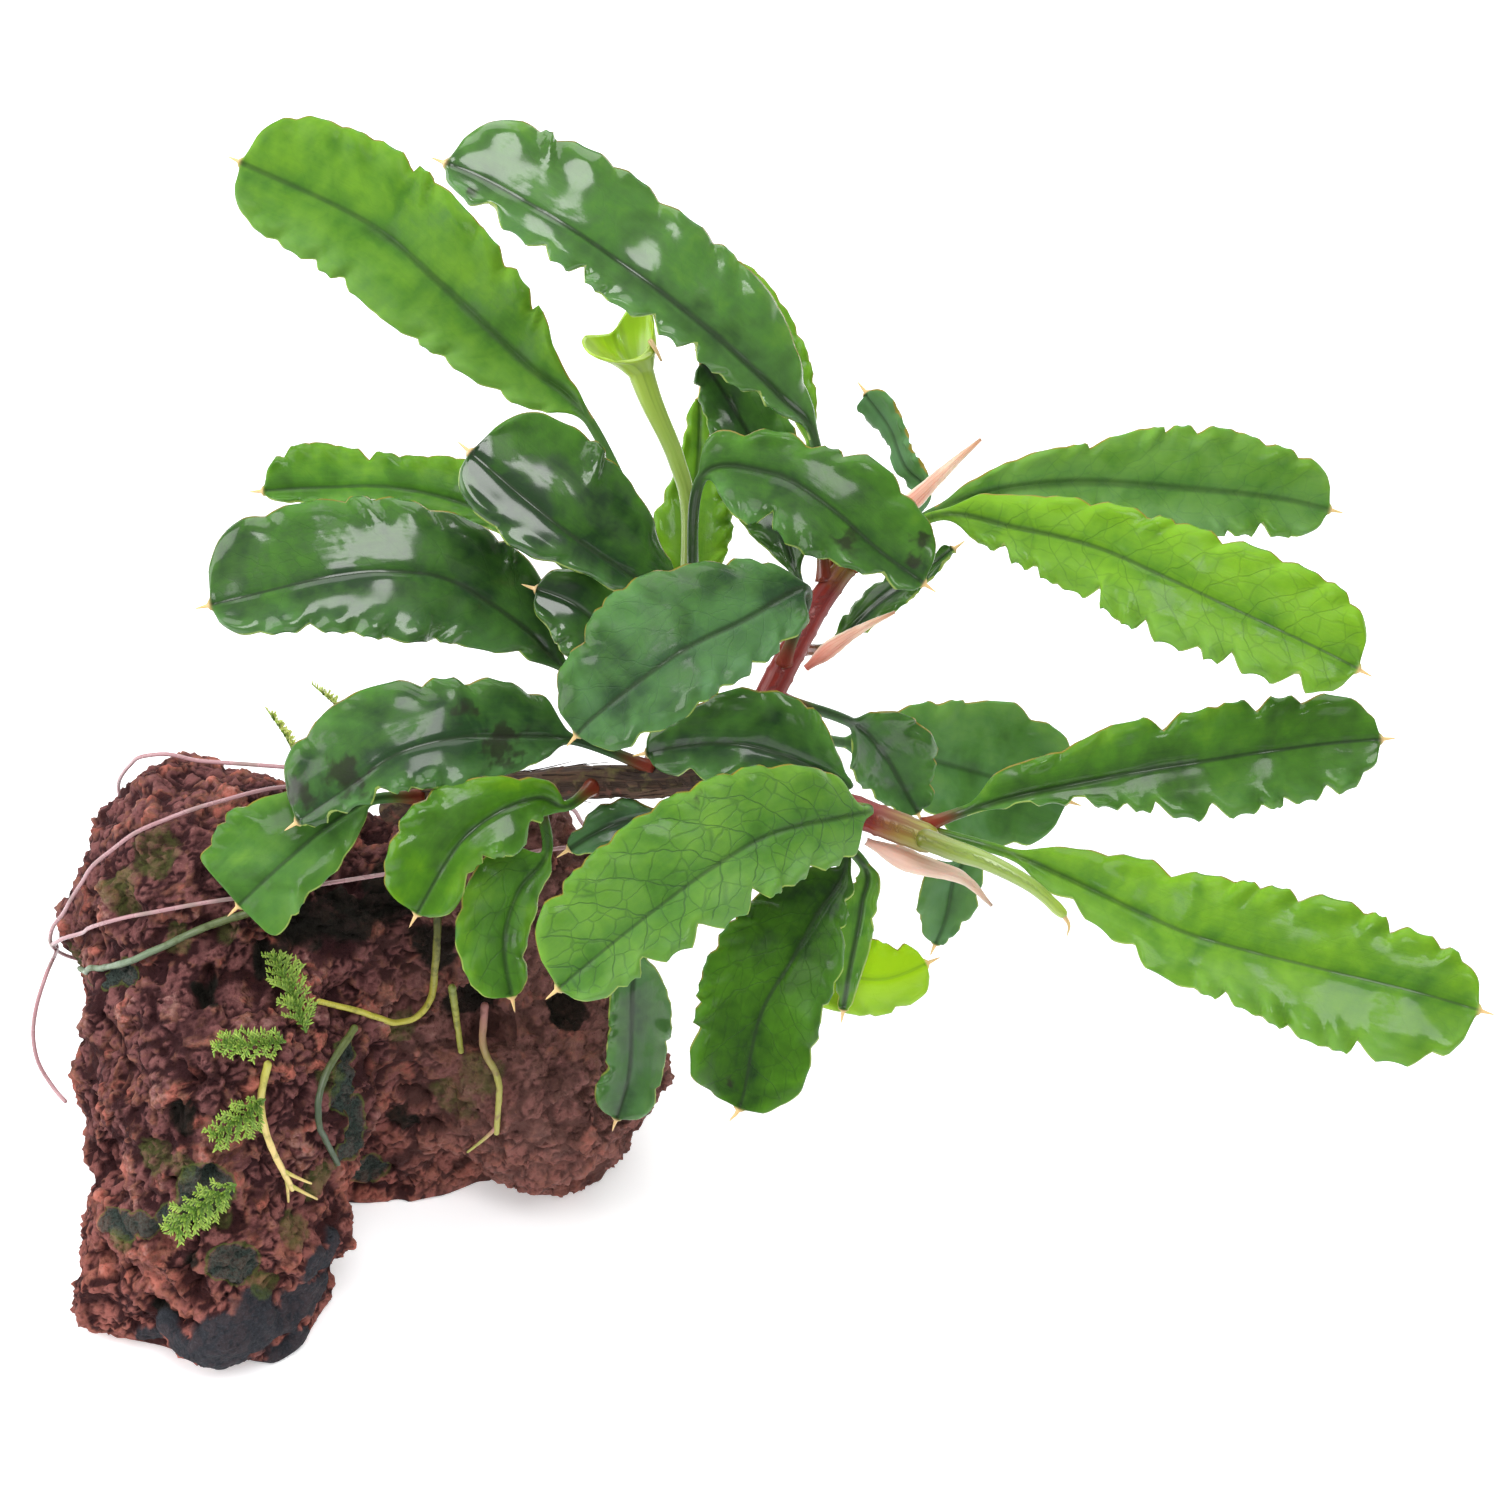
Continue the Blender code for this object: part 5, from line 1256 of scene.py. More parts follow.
def make_leaf(leaf, lines, sizes, finish, slot, index):
    """One leaf: stalk, waved and veined blade and the bristle at its tip, as one closed skin."""
    rng = random.Random(SEED * 100 + index)
    line = [seen(*place) for place in leaf.line]
    start, _ = stem_point(lines[leaf.stem], leaf.at, line[0], -GAP)
    blade_length = path_length(line)
    stalk_length = (line[0] - start).length
    length = stalk_length + blade_length
    path = smooth_path([start, *line], LEAF_LINE_POINTS)
    blade_from = stalk_length / length
    awn_from = 1 - AWN_LENGTH / length
    stops = leaf_stops(blade_from, awn_from, length, sizes.row)
    rows, columns = len(stops) - 1, sizes.columns
    breadth = (max(leaf.left) + max(leaf.right)) * MM
    lobe = min(sizes.lobe, max(2.4 * MM, breadth * 0.34))
    bend = rng.uniform(-0.5, 0.5) * MM
    stations = leaf_stations(leaf, path, stops, blade_from, awn_from, length)
    known = [measured_cuts(notches, stations) for notches in NOTCHES.get(leaf.name, ((), ()))]
    margins = [margin_lobes(rng, blade_length, lobe, wave * MM, sizes.ruffle + 0.40 * wave * MM, cuts)
               for wave, cuts in zip(leaf.wave, known)]
    bm = bmesh.new()
    blade, look, ends, rims, skin = new_layers(bm, "blade", "look", "ends", "margin", "skin")
    own_skin = Vector(SKINS.get(leaf.name, DARK_SKIN if slot == "dark_leaf" else BRIGHT_SKIN))
    veined = VEINED_LEAVES.get(leaf.name, FAINT_VEINS)
    bmesh.ops.create_grid(bm, x_segments=rows, y_segments=2 * columns, size=0.5)
    under = bmesh.ops.duplicate(bm, geom=whole(bm))["geom"]
    under_verts = {item for item in under if isinstance(item, bmesh.types.BMVert)}
    bmesh.ops.reverse_faces(bm, faces=[item for item in under if isinstance(item, bmesh.types.BMFace)])
    shift = Vector((index * 13.7, index * 5.1, 0))
    for vert in bm.verts:
        row, column = round((vert.co.x + 0.5) * rows), round(2 * vert.co.y * columns)
        s, b, centre, turned, normal, halves, x = stations[row]
        v = column_share(column / columns)
        away = abs(v)
        margin_side = 0 if v > 0 else 1
        below = vert in under_verts
        stalk = sizes.petiole / 2 * (1 + STALK_FLARE * math.exp(-s * length / STALK_FLARE_LENGTH))
        if b > 1:
            stalk = mix(*AWN_RADII, (s - awn_from) / (1 - awn_from))
        half = max(halves[margin_side], stalk)
        fade = eased(b, 0.02, 0.16) * eased(b, 1.0, 0.97)
        dip, _ = margin_at(margins[margin_side], x)
        _, lift = margin_at(margins[margin_side], x + (1 - away) * half * 0.5)
        dip = min(dip * fade, DEEPEST_NOTCH * half)
        lateral = v * half - math.copysign(dip * away ** 3, v)
        if lift > 0:
            spread = eased(away, 0.50, 0.88) * (1 - 0.65 * eased(away, 0.82, 1.0))
        else:
            spread = eased(away, 0.55, 1.0)
        rise = half * (leaf.fold[margin_side] * away + sizes.pillow * 4 * away * (1 - away))
        rise += lift * fade * spread
        spot = Vector((x, lateral, 0)) / MM + shift
        rise += (0.34 * noise.noise(spot / 5.5) + 0.05 * noise.noise(spot / 2.2)) * MM * fade
        rise += bend * math.sin(math.pi * min(1, max(0, b))) * away
        inside = 1 - away ** 9
        thick = sizes.blade * inside ** 0.5
        if below:
            keel = math.exp(-(lateral / KEEL_WIDTH) ** 2) * (1 - b) * inside
            height = rise - thick / 2 - 1.5 * sizes.groove * keel
        else:
            groove = math.exp(-(lateral / GROOVE_WIDTH) ** 2) * (1 - 0.6 * max(b, 0)) * inside
            height = rise + thick / 2 - sizes.groove * groove * eased(b, -0.05, 0.05)
        roundness = 1 - eased(b, 0.0, 0.10) * (1 - eased(b, 0.985, 1.0))
        turn = math.pi / 2 * v
        lateral = mix(lateral, stalk * math.sin(turn), roundness)
        height = mix(height, stalk * 0.92 * math.cos(turn) * (-1 if below else 1), roundness)
        if row in (0, rows):
            lateral = height = 0.0
        vert.co = centre + turned * lateral + normal * height
        rim = max(0.0, half - dip - abs(lateral)) if 0 < b < 1 else 2 * MM
        red = 0.85 * (1 - eased(s * length, 0.1 * RED_STALK_LENGTH, RED_STALK_LENGTH)) if b < 0.2 else 0.0
        # How far the margin faces up in the view, for the painted fringe and, on halves whose margin points
        # down, the painted sheen.
        upward = turned.dot(UP) * (1 if v > 0 else -1)
        vert[blade] = Vector((x, lateral, 1.0 if below else 0.0))
        vert[look] = Vector((leaf.tone, leaf.haze, stain_at(leaf, vert.co, spot)))
        vert[ends] = Vector((rim, red, eased(b, 0.992, 1.005)))
        vert[rims] = Vector((upward, veined, eased(-upward * away, 0.1, 0.9)))
        vert[skin] = own_skin
    faced_outwards(bm)
    add_piece(leaf.name + "_leaf", bm, finish, "leaf_" + leaf.name)


def make_leaves(sizes, stems):
    """Every open leaf, in three groups that share a skin."""
    lines = stem_lines()
    grown, young = (sizes.dark, sizes.middle, sizes.light), (sizes.light, sizes.lime, sizes.lime)
    groups = ((DARK_LEAVES, "dark_leaf", grown), (BRIGHT_LEAVES, "bright_leaf", grown),
              (YOUNG_LEAVES, "young_leaf", young))
    index = 0
    for leaves, slot, colours in groups:
        finish = leaf_finish(slot + "_skin", colours, sizes, stems)
        for leaf in leaves:
            index += 1
            make_leaf(leaf, lines, sizes, finish, slot, index)


def stem_finish(sizes):
    """A smooth red stem with fine streaks that turns olive towards its end."""
    f = Finish("streaked_stem", {"Coat Weight": 0.1, "Coat Roughness": 0.15, "Specular IOR Level": 0.35},
               (0.08, (1.0, 0.3, 0.2), 0.8))
    share, angle, _ = f.attribute("stalk")
    streaks = f.noise(0.08, detail=3, place=f.vector(f.times(share, 0.12), angle))
    colour = f.ramp(share, (0.0, sizes.wine), (0.35, sizes.red), (0.75, sizes.red), (1.0, sizes.olive))
    colour = f.over(colour, sizes.wine, streaks, 0.4, 0.65, 0.55)
    return f.done(colour, f.ranged(streaks, 0.3, 0.7, 0.28, 0.5), f.total((streaks, 0.12)))


def bark_finish(sizes):
    """Brown, fibrous bark."""
    f = Finish("fibrous_bark", {"Roughness": 0.8})
    share, angle, _ = f.attribute("stalk")
    fibres = f.noise(0.06, detail=5, place=f.vector(f.times(share, 0.25), angle))
    blotch = f.noise(1.6 * MM, detail=4)
    colour = f.blend(f.ranged(fibres, 0.35, 0.65), (0.030, 0.014, 0.010), sizes.bark)
    colour = f.over(colour, (0.20, 0.17, 0.05), blotch, 0.52, 0.72, 0.6)
    colour = f.over(colour, (0.24, 0.07, 0.05), blotch, 0.42, 0.28, 0.6)
    return f.done(colour, None, f.total((fibres, 0.35)))


STEM_ROW = 0.4 * MM
STEM_SIDES = 20
RING_WIDTH = 0.006
KNOT_LENGTH = 2.2 * MM
FIBRES = 26
FIBRE_SIDES = 5
FIBRE_REACH = 1.62 * MM
FIBRE_LIFT = 0.7 * MM


def make_stems(sizes):
    """The rhizome with its dead fibres, and the three ringed shoots."""
    lines = stem_lines()
    red, bark = stem_finish(sizes), bark_finish(sizes)
    rng = random.Random(SEED)
    for name, (path, radii) in lines.items():
        fine = smooth_path(path, round(path_length(path) / STEM_ROW))
        length = path_length(fine)
        bm = bmesh.new()
        layer = new_layers(bm, "stalk")[0]
        barked = name == "rhizome"
        rough = 0.14 if barked else 0.04

        def radius(share, angle):
            ring = math.exp(-((share * length / sizes.ring) % 1 - 0.5) ** 2 / RING_WIDTH)
            knots = noise.noise(Vector((math.cos(angle), math.sin(angle), share * length / KNOT_LENGTH)))
            return mix(*radii, share) * MM * (1 + rough * knots) + sizes.ring_height * ring

        add_tube(bm, fine, radius, STEM_SIDES, layer)
        if barked:
            add_fibres(bm, fine, sizes, rng, layer)
        faced_outwards(bm)
        if barked:
            add_piece("creeping_rhizome", bm, bark, name)
        else:
            add_piece(name.replace("shoot_", "") + "_shoot", bm, red, name)


def add_fibres(bm, path, sizes, rng, layer):
    """Dead fibres that lie along the rhizome and fray off it."""
    for _ in range(FIBRES):
        start = rng.randrange(0, len(path) - 20)
        end = min(len(path) - 1, start + rng.randrange(12, 34))
        angle, drift = rng.uniform(0, 2 * math.pi), rng.uniform(-0.9, 0.9)
        lift = rng.uniform(0.0, 1.0) * FIBRE_LIFT
        frames = sweep_frames(path[start:end])
        points = []
        for k, (point, _, across, other) in enumerate(frames):
            turn = angle + drift * k / len(frames)
            out = FIBRE_REACH + lift * (k / len(frames)) ** 2
            points.append(point + (across * math.cos(turn) + other * math.sin(turn)) * out)
        add_tube(bm, points, lambda share, _: sizes.fibre * (1 - 0.6 * share), FIBRE_SIDES, layer, 1.0)


def sheath_finish(sizes):
    """Thin, papery and pink, paler at its edges."""
    f = Finish("papery_sheath", {"Roughness": 0.45}, (0.4, (1.0, 0.5, 0.35), 0.5))
    share, angle, pale = f.attribute("stalk")
    ribs = f.noise(0.05, detail=3, place=f.vector(f.times(share, 0.1), angle))
    middle = f.maths("ABSOLUTE", f.maths("SUBTRACT", angle, 0.5))
    colour = f.ramp(share, (0.0, (0.42, 0.08, 0.06)), (0.30, sizes.sheath), (0.70, (0.80, 0.58, 0.44)),
                    (0.95, (0.62, 0.36, 0.20)))
    colour = f.over(colour, (0.88, 0.76, 0.62), middle, 0.12, 0.45, 0.85)
    colour = f.over(colour, (0.58, 0.18, 0.11), ribs, 0.45, 0.62, 0.6)
    colour = f.blend(f.times(pale, 0.55), colour, (0.84, 0.66, 0.56))
    return f.done(colour, None, f.total((ribs, 0.15)))


def add_wall(piece, thickness):
    """Gives an open sheet its thickness."""
    wall = piece.modifiers.new("wall", "SOLIDIFY")
    wall.thickness = thickness
    wall.offset = 0


SHEATH_COLUMNS = 24
SHEATH_WALL = 0.12 * MM
PALE_SHEATH = "sheath_right"


def make_sheaths(sizes):
    """Pointed papery troughs that once wrapped a young leaf."""
    finish = sheath_finish(sizes)
    for horn in SHEATHS:
        frames = sweep_frames(seen_path(horn.places, HORN_STEPS))
        bm = bmesh.new()
        layer = new_layers(bm, "stalk")[0]
        for vert, row, column in new_grid(bm, HORN_STEPS, SHEATH_COLUMNS):
            share, around = row / HORN_STEPS, column / SHEATH_COLUMNS
            point, _, across, other = frames[row]
            size = along_list(horn.radii, share) * MM * mix(0.25, 0.86, eased(share, 0.0, 0.30))
            angle = (around - 0.5) * mix(1.25, 0.80, share) * math.pi
            ragged = noise.noise(Vector((share * 14, around * 9, len(horn.name))))
            size *= 1 + 0.16 * ragged * abs(2 * around - 1) + 0.05 * math.sin(around * 60)
            vert[layer] = Vector((share, around, 1.0 if horn.name == PALE_SHEATH else 0.0))
            vert.co = point + (across * math.cos(angle) + other * math.sin(angle)) * size
        piece = add_piece(horn.name.replace("sheath", "papery_sheath"), bm, finish, horn.name)
        add_wall(piece, SHEATH_WALL)


def young_finish(sizes):
    """Yellow-green young leaf that is still rolled, olive below and lime above."""
    f = Finish("rolled_leaf", {"Coat Weight": 0.3, "Coat Roughness": 0.12}, (0.25, (0.5, 1.0, 0.15), 0.8))
    share, angle, tip = f.attribute("stalk")
    streaks = f.noise(0.07, detail=2, place=f.vector(f.times(share, 0.15), angle))
    colour = f.ramp(share, (0.0, (0.16, 0.17, 0.02)), (0.3, (0.24, 0.33, 0.06)), (0.75, (0.26, 0.38, 0.07)),
                    (1.0, (0.34, 0.47, 0.06)))
    colour = f.over(colour, (0.42, 0.62, 0.01), tip, 0.0, 0.6, 1.0)
    colour = f.over(colour, sizes.awn, tip, 1.5, 2.0, 1.0)
    colour = f.over(colour, (0.12, 0.20, 0.02), streaks, 0.45, 0.7, 0.45)
    return f.done(colour, 0.3, f.total((streaks, 0.10)))


# Where the cup's rim passes, from its right side by way of its back and its left.
CUP_RIM = (
    (651, 342, 1.0), (653, 322, 0.5), (646, 304, 0.0), (628, 309, -0.5), (613, 331, -1.0), (597, 335, 0.0),
    (583, 337, 1.5), (586, 350, 2.6), (601, 357, 3.2), (622, 361, 3.2), (641, 356, 2.2),
)
CUP_AWN = ((656, 350, 1.6), (661, 360, 2))
CUP_FROM = 0.93
CUP_ROWS = 16
CUP_SIDES = 44
CUP_WALL = 0.22 * MM
CUP_ARCH = 0.9 * MM
CUP_BULGE = 0.5 * MM
CUP_WRINKLES = 0.12 * MM
FUNNEL_STEPS = 70
FURLED_SIDES = 28
FURLED_AWN = ((1069, 925, 10), (1062, 913, 10), (1067, 936, 10))
AWN_TAG = 2.0
AWN_STEPS = 8


def make_unrolling_leaf(sizes):
    """The rolled young leaf: a stalk that widens to a funnel, and a cup with a lip and an upright lobe."""
    places = [seen(*place) for place in UNROLLING_PLACES]
    start, _ = stem_point(stem_lines()["shoot_left"], UNROLLING_FROM, places[0], -GAP)
    path = smooth_path([start, *places[1:]], FUNNEL_STEPS)[:round(FUNNEL_STEPS * CUP_FROM) + 1]
    last = len(path) - 1
    along = sweep_frames(path)[-1][1]
    sideways = (RIGHT - along * RIGHT.dot(along)).normalized()
    outward = sideways.cross(along)
    rim = seen_path((*CUP_RIM, CUP_RIM[0]), CUP_SIDES)
    bm = bmesh.new()
    layer = new_layers(bm, "stalk")[0]
    for vert, row, side in new_grid(bm, last + CUP_ROWS, CUP_SIDES):
        turn = 2 * math.pi * side / CUP_SIDES
        k = min(row, last)
        share = k / last
        radial = sideways * math.cos(turn) - outward * math.sin(turn)
        ridge = 1 + 0.06 * math.cos(3 * turn) * eased(share, 0.2, 0.8)
        size = along_list(UNROLLING_RADII, share * CUP_FROM) * MM * 0.92 * ridge
        point = path[k] + radial * (size if row else 0)
        past = max(0, row - last) / CUP_ROWS
        if past:
            spread = past ** 1.15
            arch = math.sin(math.pi * past)
            point = point.lerp(rim[side], spread) + along * (CUP_ARCH * arch * (1 - spread))
            wrinkles = noise.noise(Vector((side * 0.7, past * 3, 1))) * past
            point += radial * (CUP_BULGE * arch + CUP_WRINKLES * wrinkles)
        lobe = eased(math.sin(turn), 0.0, 0.6)
        vert[layer] = Vector((share, side / CUP_SIDES, past * mix(0.35, 1.0, lobe)))
        vert.co = point
    bmesh.ops.remove_doubles(bm, verts=bm.verts[:], dist=WELD)
    awn = smooth_path([rim[0], *(seen(*place) for place in CUP_AWN)], AWN_STEPS)
    add_tube(bm, awn, lambda share, _: mix(0.22, 0.04, share) * MM, 6, layer, AWN_TAG)
    piece = add_piece("unrolling_young_leaf", bm, young_finish(sizes), "leaf_unrolling")
    add_wall(piece, CUP_WALL)


def make_furled_leaf(sizes):
    """The furled leaf at the end of the right shoot: a rolled cone with its free edge, a knob and an awn."""
    path = seen_path(FURLED_LEAF.places, HORN_STEPS)
    bm = bmesh.new()
    layer = new_layers(bm, "stalk")[0]

    def radius(share, angle):
        seam = (angle - 1.2 - 2.5 * share + math.pi) % (2 * math.pi) - math.pi
        step = 0.10 * eased(seam, -0.5, 0.0) * (1 - eased(seam, 0.0, 0.12))
        knob = 0.12 * math.exp(-((share - 0.95) / 0.04) ** 2)
        return along_list(FURLED_LEAF.radii, share) * MM * (0.86 + step + knob)

    add_tube(bm, path, radius, FURLED_SIDES, layer)
    ahead, behind, tip = (seen(*place) for place in FURLED_AWN)
    awn = smooth_path([path[-1], path[-1] + (ahead - behind), tip], AWN_STEPS)
    add_tube(bm, awn, lambda share, _: mix(0.30, 0.05, share) * MM, 8, layer, AWN_TAG)
    faced_outwards(bm)
    add_piece("furled_young_leaf", bm, young_finish(sizes), "leaf_furled_right")


# A root's colour near its start and from its middle on, and how many twigs it ends in.
RootLook = namedtuple("RootLook", "first last branches")
ROOT_LOOKS = {
    "root_front": RootLook((0.035, 0.050, 0.012), (0.50, 0.46, 0.06), 0),
    "root_lower_left": RootLook((0.50, 0.48, 0.08), (0.75, 0.58, 0.22), 3),
    "root_pink_right": RootLook((0.50, 0.22, 0.20), (0.42, 0.40, 0.10), 1),
    "root_short_right": RootLook((0.20, 0.24, 0.04), (0.42, 0.42, 0.08), 0),
    "root_dark_loop": RootLook((0.11, 0.14, 0.03), (0.06, 0.09, 0.05), 0),
    "root_left_edge": RootLook((0.10, 0.13, 0.02), (0.16, 0.22, 0.14), 0),
}


ROOT_SIDES = 12
TWIG_SIDES = 8
TWIG_GAP = 0.2 * MM


def root_finish(name, look):
    """A root's skin: its two colours, blotched with a darker tone."""
    f = Finish(name + "_skin", {"Coat Weight": 0.2, "Coat Roughness": 0.2}, (0.2, (1.0, 0.8, 0.3), 0.5))
    share, _, _ = f.attribute("stalk")
    blotch = f.noise(1.1 * MM, detail=4)
    colour = f.ramp(share, (0.05, look.first), (0.55, look.last))
    colour = f.over(colour, [part * 0.45 for part in look.first], blotch, 0.5, 0.7, 0.6)
    return f.done(colour, f.ranged(blotch, 0.3, 0.7, 0.35, 0.7), f.total((blotch, 0.15)))


def make_roots():
    """Roots that lie on the rock, with forked and frayed ends."""
    surface, cad = fine_rock(), rock_surface()
    rng = random.Random(SEED + 1)
    for name, pixels in ROOTS.items():
        rough = [on_rock(cad, *pixel, ROOT_RADIUS + GAP) for pixel in pixels]
        path = smooth_path(rough, round(path_length(rough) / (0.35 * MM)))
        path = kept_clear(surface, path, ROOT_RADIUS * 0.7)
        path = smooth_path(path[::4], round(path_length(path) / (0.3 * MM)))
        bm = bmesh.new()
        layer = new_layers(bm, "stalk")[0]
        seed = rng.uniform(0, 50)

        def radius(share, angle):
            knots = noise.noise(Vector((share * 14 + seed, math.cos(angle), math.sin(angle))))
            return mix(ROOT_RADIUS, ROOT_TIP_RADIUS, share) * (1.05 + 0.22 * knots)

        add_tube(bm, path, radius, ROOT_SIDES, layer)
        for branch in range(ROOT_LOOKS[name].branches):
            leave = path[-3 - 4 * branch]
            way = (path[-1] - path[-8]).normalized()
            aside = way.cross(NEARER) * rng.uniform(-0.9, 0.9)
            ends = [leave, leave + (way + aside) * 1.4 * MM, leave + (way * 1.2 + aside * 1.3) * 2.6 * MM]
            twig = kept_clear(surface, smooth_path(ends, 12), TWIG_GAP)
            add_tube(bm, twig, lambda share, _: mix(0.24, 0.12, share) * MM, TWIG_SIDES, layer)
        faced_outwards(bm)
        add_piece("clinging_" + name, bm, root_finish(name, ROOT_LOOKS[name]), name)


def moss_finish(sizes):
    """Moss whose leaflets run from deep green inside to pale at the tips."""
    f = Finish("moss_leaflets", {"Roughness": 0.55}, (0.3, (0.6, 1.0, 0.2), 0.4))
    fresh, shade, pale = f.attribute("stalk")
    colour = f.blend(f.ranged(fresh, 0.1, 0.9), sizes.deep, sizes.fresh)
    colour = f.blend(pale, colour, sizes.pale)
    colour = f.blend(f.times(shade, 0.5), colour, sizes.deep)
    return f.done(colour, None, f.total((f.noise(0.25 * MM), 0.05)))


Leaflet = namedtuple("Leaflet", "foot way face length width tag")


def add_leaflets(bm, leaflets):
    """Closed pointed leaflets, copies of one, each curled up towards its tip and paler there."""
    leaves = bmesh.new()
    tags = new_layers(leaves, "stalk")[0]
    number = leaves.verts.layers.int.new("number")
    bmesh.ops.create_uvsphere(leaves, u_segments=6, v_segments=6, radius=1)
    bmesh.ops.reverse_faces(leaves, faces=leaves.faces[:])
    count = 1
    while count < len(leaflets):
        made = bmesh.ops.duplicate(leaves, geom=whole(leaves))["geom"]
        for item in made:
            if isinstance(item, bmesh.types.BMVert):
                item[number] += count
        count *= 2
    spare = [vert for vert in leaves.verts if vert[number] >= len(leaflets)]
    bmesh.ops.delete(leaves, geom=spare, context="VERTS")
    for vert in leaves.verts:
        leaflet = leaflets[vert[number]]
        way = leaflet.way.normalized()
        across = way.cross(leaflet.face).normalized()
        up = across.cross(way).normalized()
        share = (vert.co.z + 1) / 2
        swell = 1.7 * max(share, 0.0) ** 0.5 * max(1 - share, 0.0) ** 0.8
        angle = math.atan2(vert.co.y, vert.co.x)
        side = across * (math.cos(angle) * leaflet.width / 2 * swell)
        bulge = up * (math.sin(angle) * leaflet.width / 6 * swell + 0.22 * leaflet.length * share * share)
        vert.co = leaflet.foot + way * (leaflet.length * share) + side + bulge
        vert[tags] = leaflet.tag + Vector((0.55 * share, 0, 0))
    leaves.verts.layers.int.remove(number)
    mesh = mesh_from("leaflets", leaves)
    bm.from_mesh(mesh)
    bpy.data.meshes.remove(mesh)


def sprig_way(path, share, face, n):
    """The point at a share of a sprig, the way on from it, and the way aside for its n-th shoot."""
    ahead = (along_list(path, share + 0.05) - along_list(path, share - 0.05)).normalized()
    return along_list(path, share), ahead, face.cross(ahead).normalized() * (1 if n % 2 else -1)


def add_sprig(bm, path, width, face, sizes, rng, layer, pale):
    """A stem of moss and the leaflets that overlap on it, with side sprigs while it is broad."""
    length = path_length(path)
    add_tube(bm, path, lambda share, _: mix(0.16, 0.08, share) * MM, 6, layer)
    leaflets = []
    count = round(length / sizes.spacing)
    for n in range(count):
        share = n / count
        point, ahead, aside = sprig_way(path, share, face, n)
        turn = math.radians(rng.uniform(-15, 75))
        side = aside * math.cos(turn) + face * math.sin(turn)
        way = ahead * rng.uniform(0.6, 1.0) + side * rng.uniform(0.7, 1.0)
        size = sizes.leaflet * rng.uniform(0.75, 1.2) * (1 - 0.3 * share)
        tag = Vector((pale + 0.40 * share + rng.uniform(-0.15, 0.2), rng.random() * (1 - pale), pale))
        leaflets.append(Leaflet(point, way, face, size, size * 0.5, tag))
    if width:
        branches = round(length / sizes.branch)
        for n in range(branches):
            share = mix(0.04, 0.92, (n + rng.uniform(0.0, 0.6)) / branches)
            point, ahead, side = sprig_way(path, share, face, n)
            reach = width / 2 * math.sin(math.pi * (0.30 + 0.58 * share)) * rng.uniform(0.7, 1.05)
            end = point + (side * 0.85 + ahead * 0.75 + face * rng.uniform(-0.05, 0.3)) * reach
            branch = smooth_path([point, point.lerp(end, 0.5) + face * 0.15 * reach, end], 8)
            leaflets += add_sprig(bm, branch, 0, face, sizes, rng, layer, pale)
    return leaflets


def make_moss(sizes):
    """Moss on the rock's face and behind its top: joined leaflets along bent stems."""
    surface = rock_surface()
    finish = moss_finish(sizes)
    rng = random.Random(SEED + 2)
    sprigs = {}
    for name, (foot, tip, width) in MOSS_SPRIGS.items():
        lift = SPRIG_THICKNESS + 2 * GAP
        ends = [on_rock(surface, *foot, lift), on_rock(surface, *tip, lift)]
        middle = (ends[0] + ends[1]) / 2
        bulge = kept_clear(surface, [middle], lift + SPRIG_THICKNESS)[0] - middle
        sprigs[name] = ([end + bulge * 0.5 for end in ends], width)
    for name, (foot, tip, width) in MOSS_TUFTS.items():
        root = rest_on(surface, seen(*foot), SPRIG_THICKNESS * 0.5)
        sprigs[name] = ([root, seen(*tip)], width)
    for name, ((foot, tip), width) in sprigs.items():
        middle = (foot + tip) / 2
        _, face, _, _ = surface.find_nearest(middle)
        side = face.cross(tip - foot).normalized()
        points = [foot - face * 0.5 * MM, middle + side * rng.uniform(-0.5, 0.5) * MM + face * 0.3 * MM, tip]
        bm = bmesh.new()
        layer = new_layers(bm, "stalk")[0]
        pale = 0.7 if name in MOSS_TUFTS else 0.0
        leaflets = add_sprig(bm, smooth_path(points, 24), width * MM, face, sizes, rng, layer, pale)
        faced_outwards(bm)
        add_leaflets(bm, leaflets)
        add_piece(name.replace("moss_", "") + "_moss", bm, finish, name)


def taut_turn(ground, surface, turn):
    """Points round the rock in one plane, from behind it by way of its right side, held taut."""
    a, b = on_rock(surface, *turn.first, 0), on_rock(surface, *turn.second, 0)
    normal = (b - a).cross(Vector(turn.behind) * MM - a).normalized()
    normal *= 1 if normal.z > 0 else -1
    bm = ground.copy()
    cut = bmesh.ops.bisect_plane(bm, geom=whole(bm), plane_co=a, plane_no=normal)
    section = [item.co.copy() for item in cut["geom_cut"] if isinstance(item, bmesh.types.BMVert)]
    bm.free()
    back = (Vector((0, 1, 0)) - normal * normal.y).normalized()
    right = back.cross(normal)
    middle = sum(section, Vector()) / len(section)
    flat = [Vector(((p - middle).dot(back), (p - middle).dot(right))) for p in section]
    taut = [flat[k] for k in geometry.convex_hull_2d(flat)]
    points = []
    for step in range(LINE_STEPS):
        angle = 2 * math.pi * step / LINE_STEPS
        way = Vector((math.cos(angle), math.sin(angle)))
        sides = zip(taut, taut[1:] + taut[:1])
        hits = [geometry.intersect_line_line_2d(p, q, Vector((0, 0)), way) for p, q in sides]
        reach = max(hit.length for hit in hits if hit) + turn.stand_off * MM
        points.append(middle + (back * way.x + right * way.y) * reach)
    return points


def line_finish(sizes):
    """Clear pinkish line, dulled here and there by a film."""
    f = Finish("clear_line", {"IOR": 1.5, "Transmission Weight": 0.25, "Roughness": 0.2})
    film = f.noise(4 * MM, detail=3)
    colour = f.over(sizes.line, (0.30, 0.24, 0.20), film, 0.48, 0.7, 0.7)
    return f.done(colour, f.ranged(film, 0.4, 0.7, 0.15, 0.5))


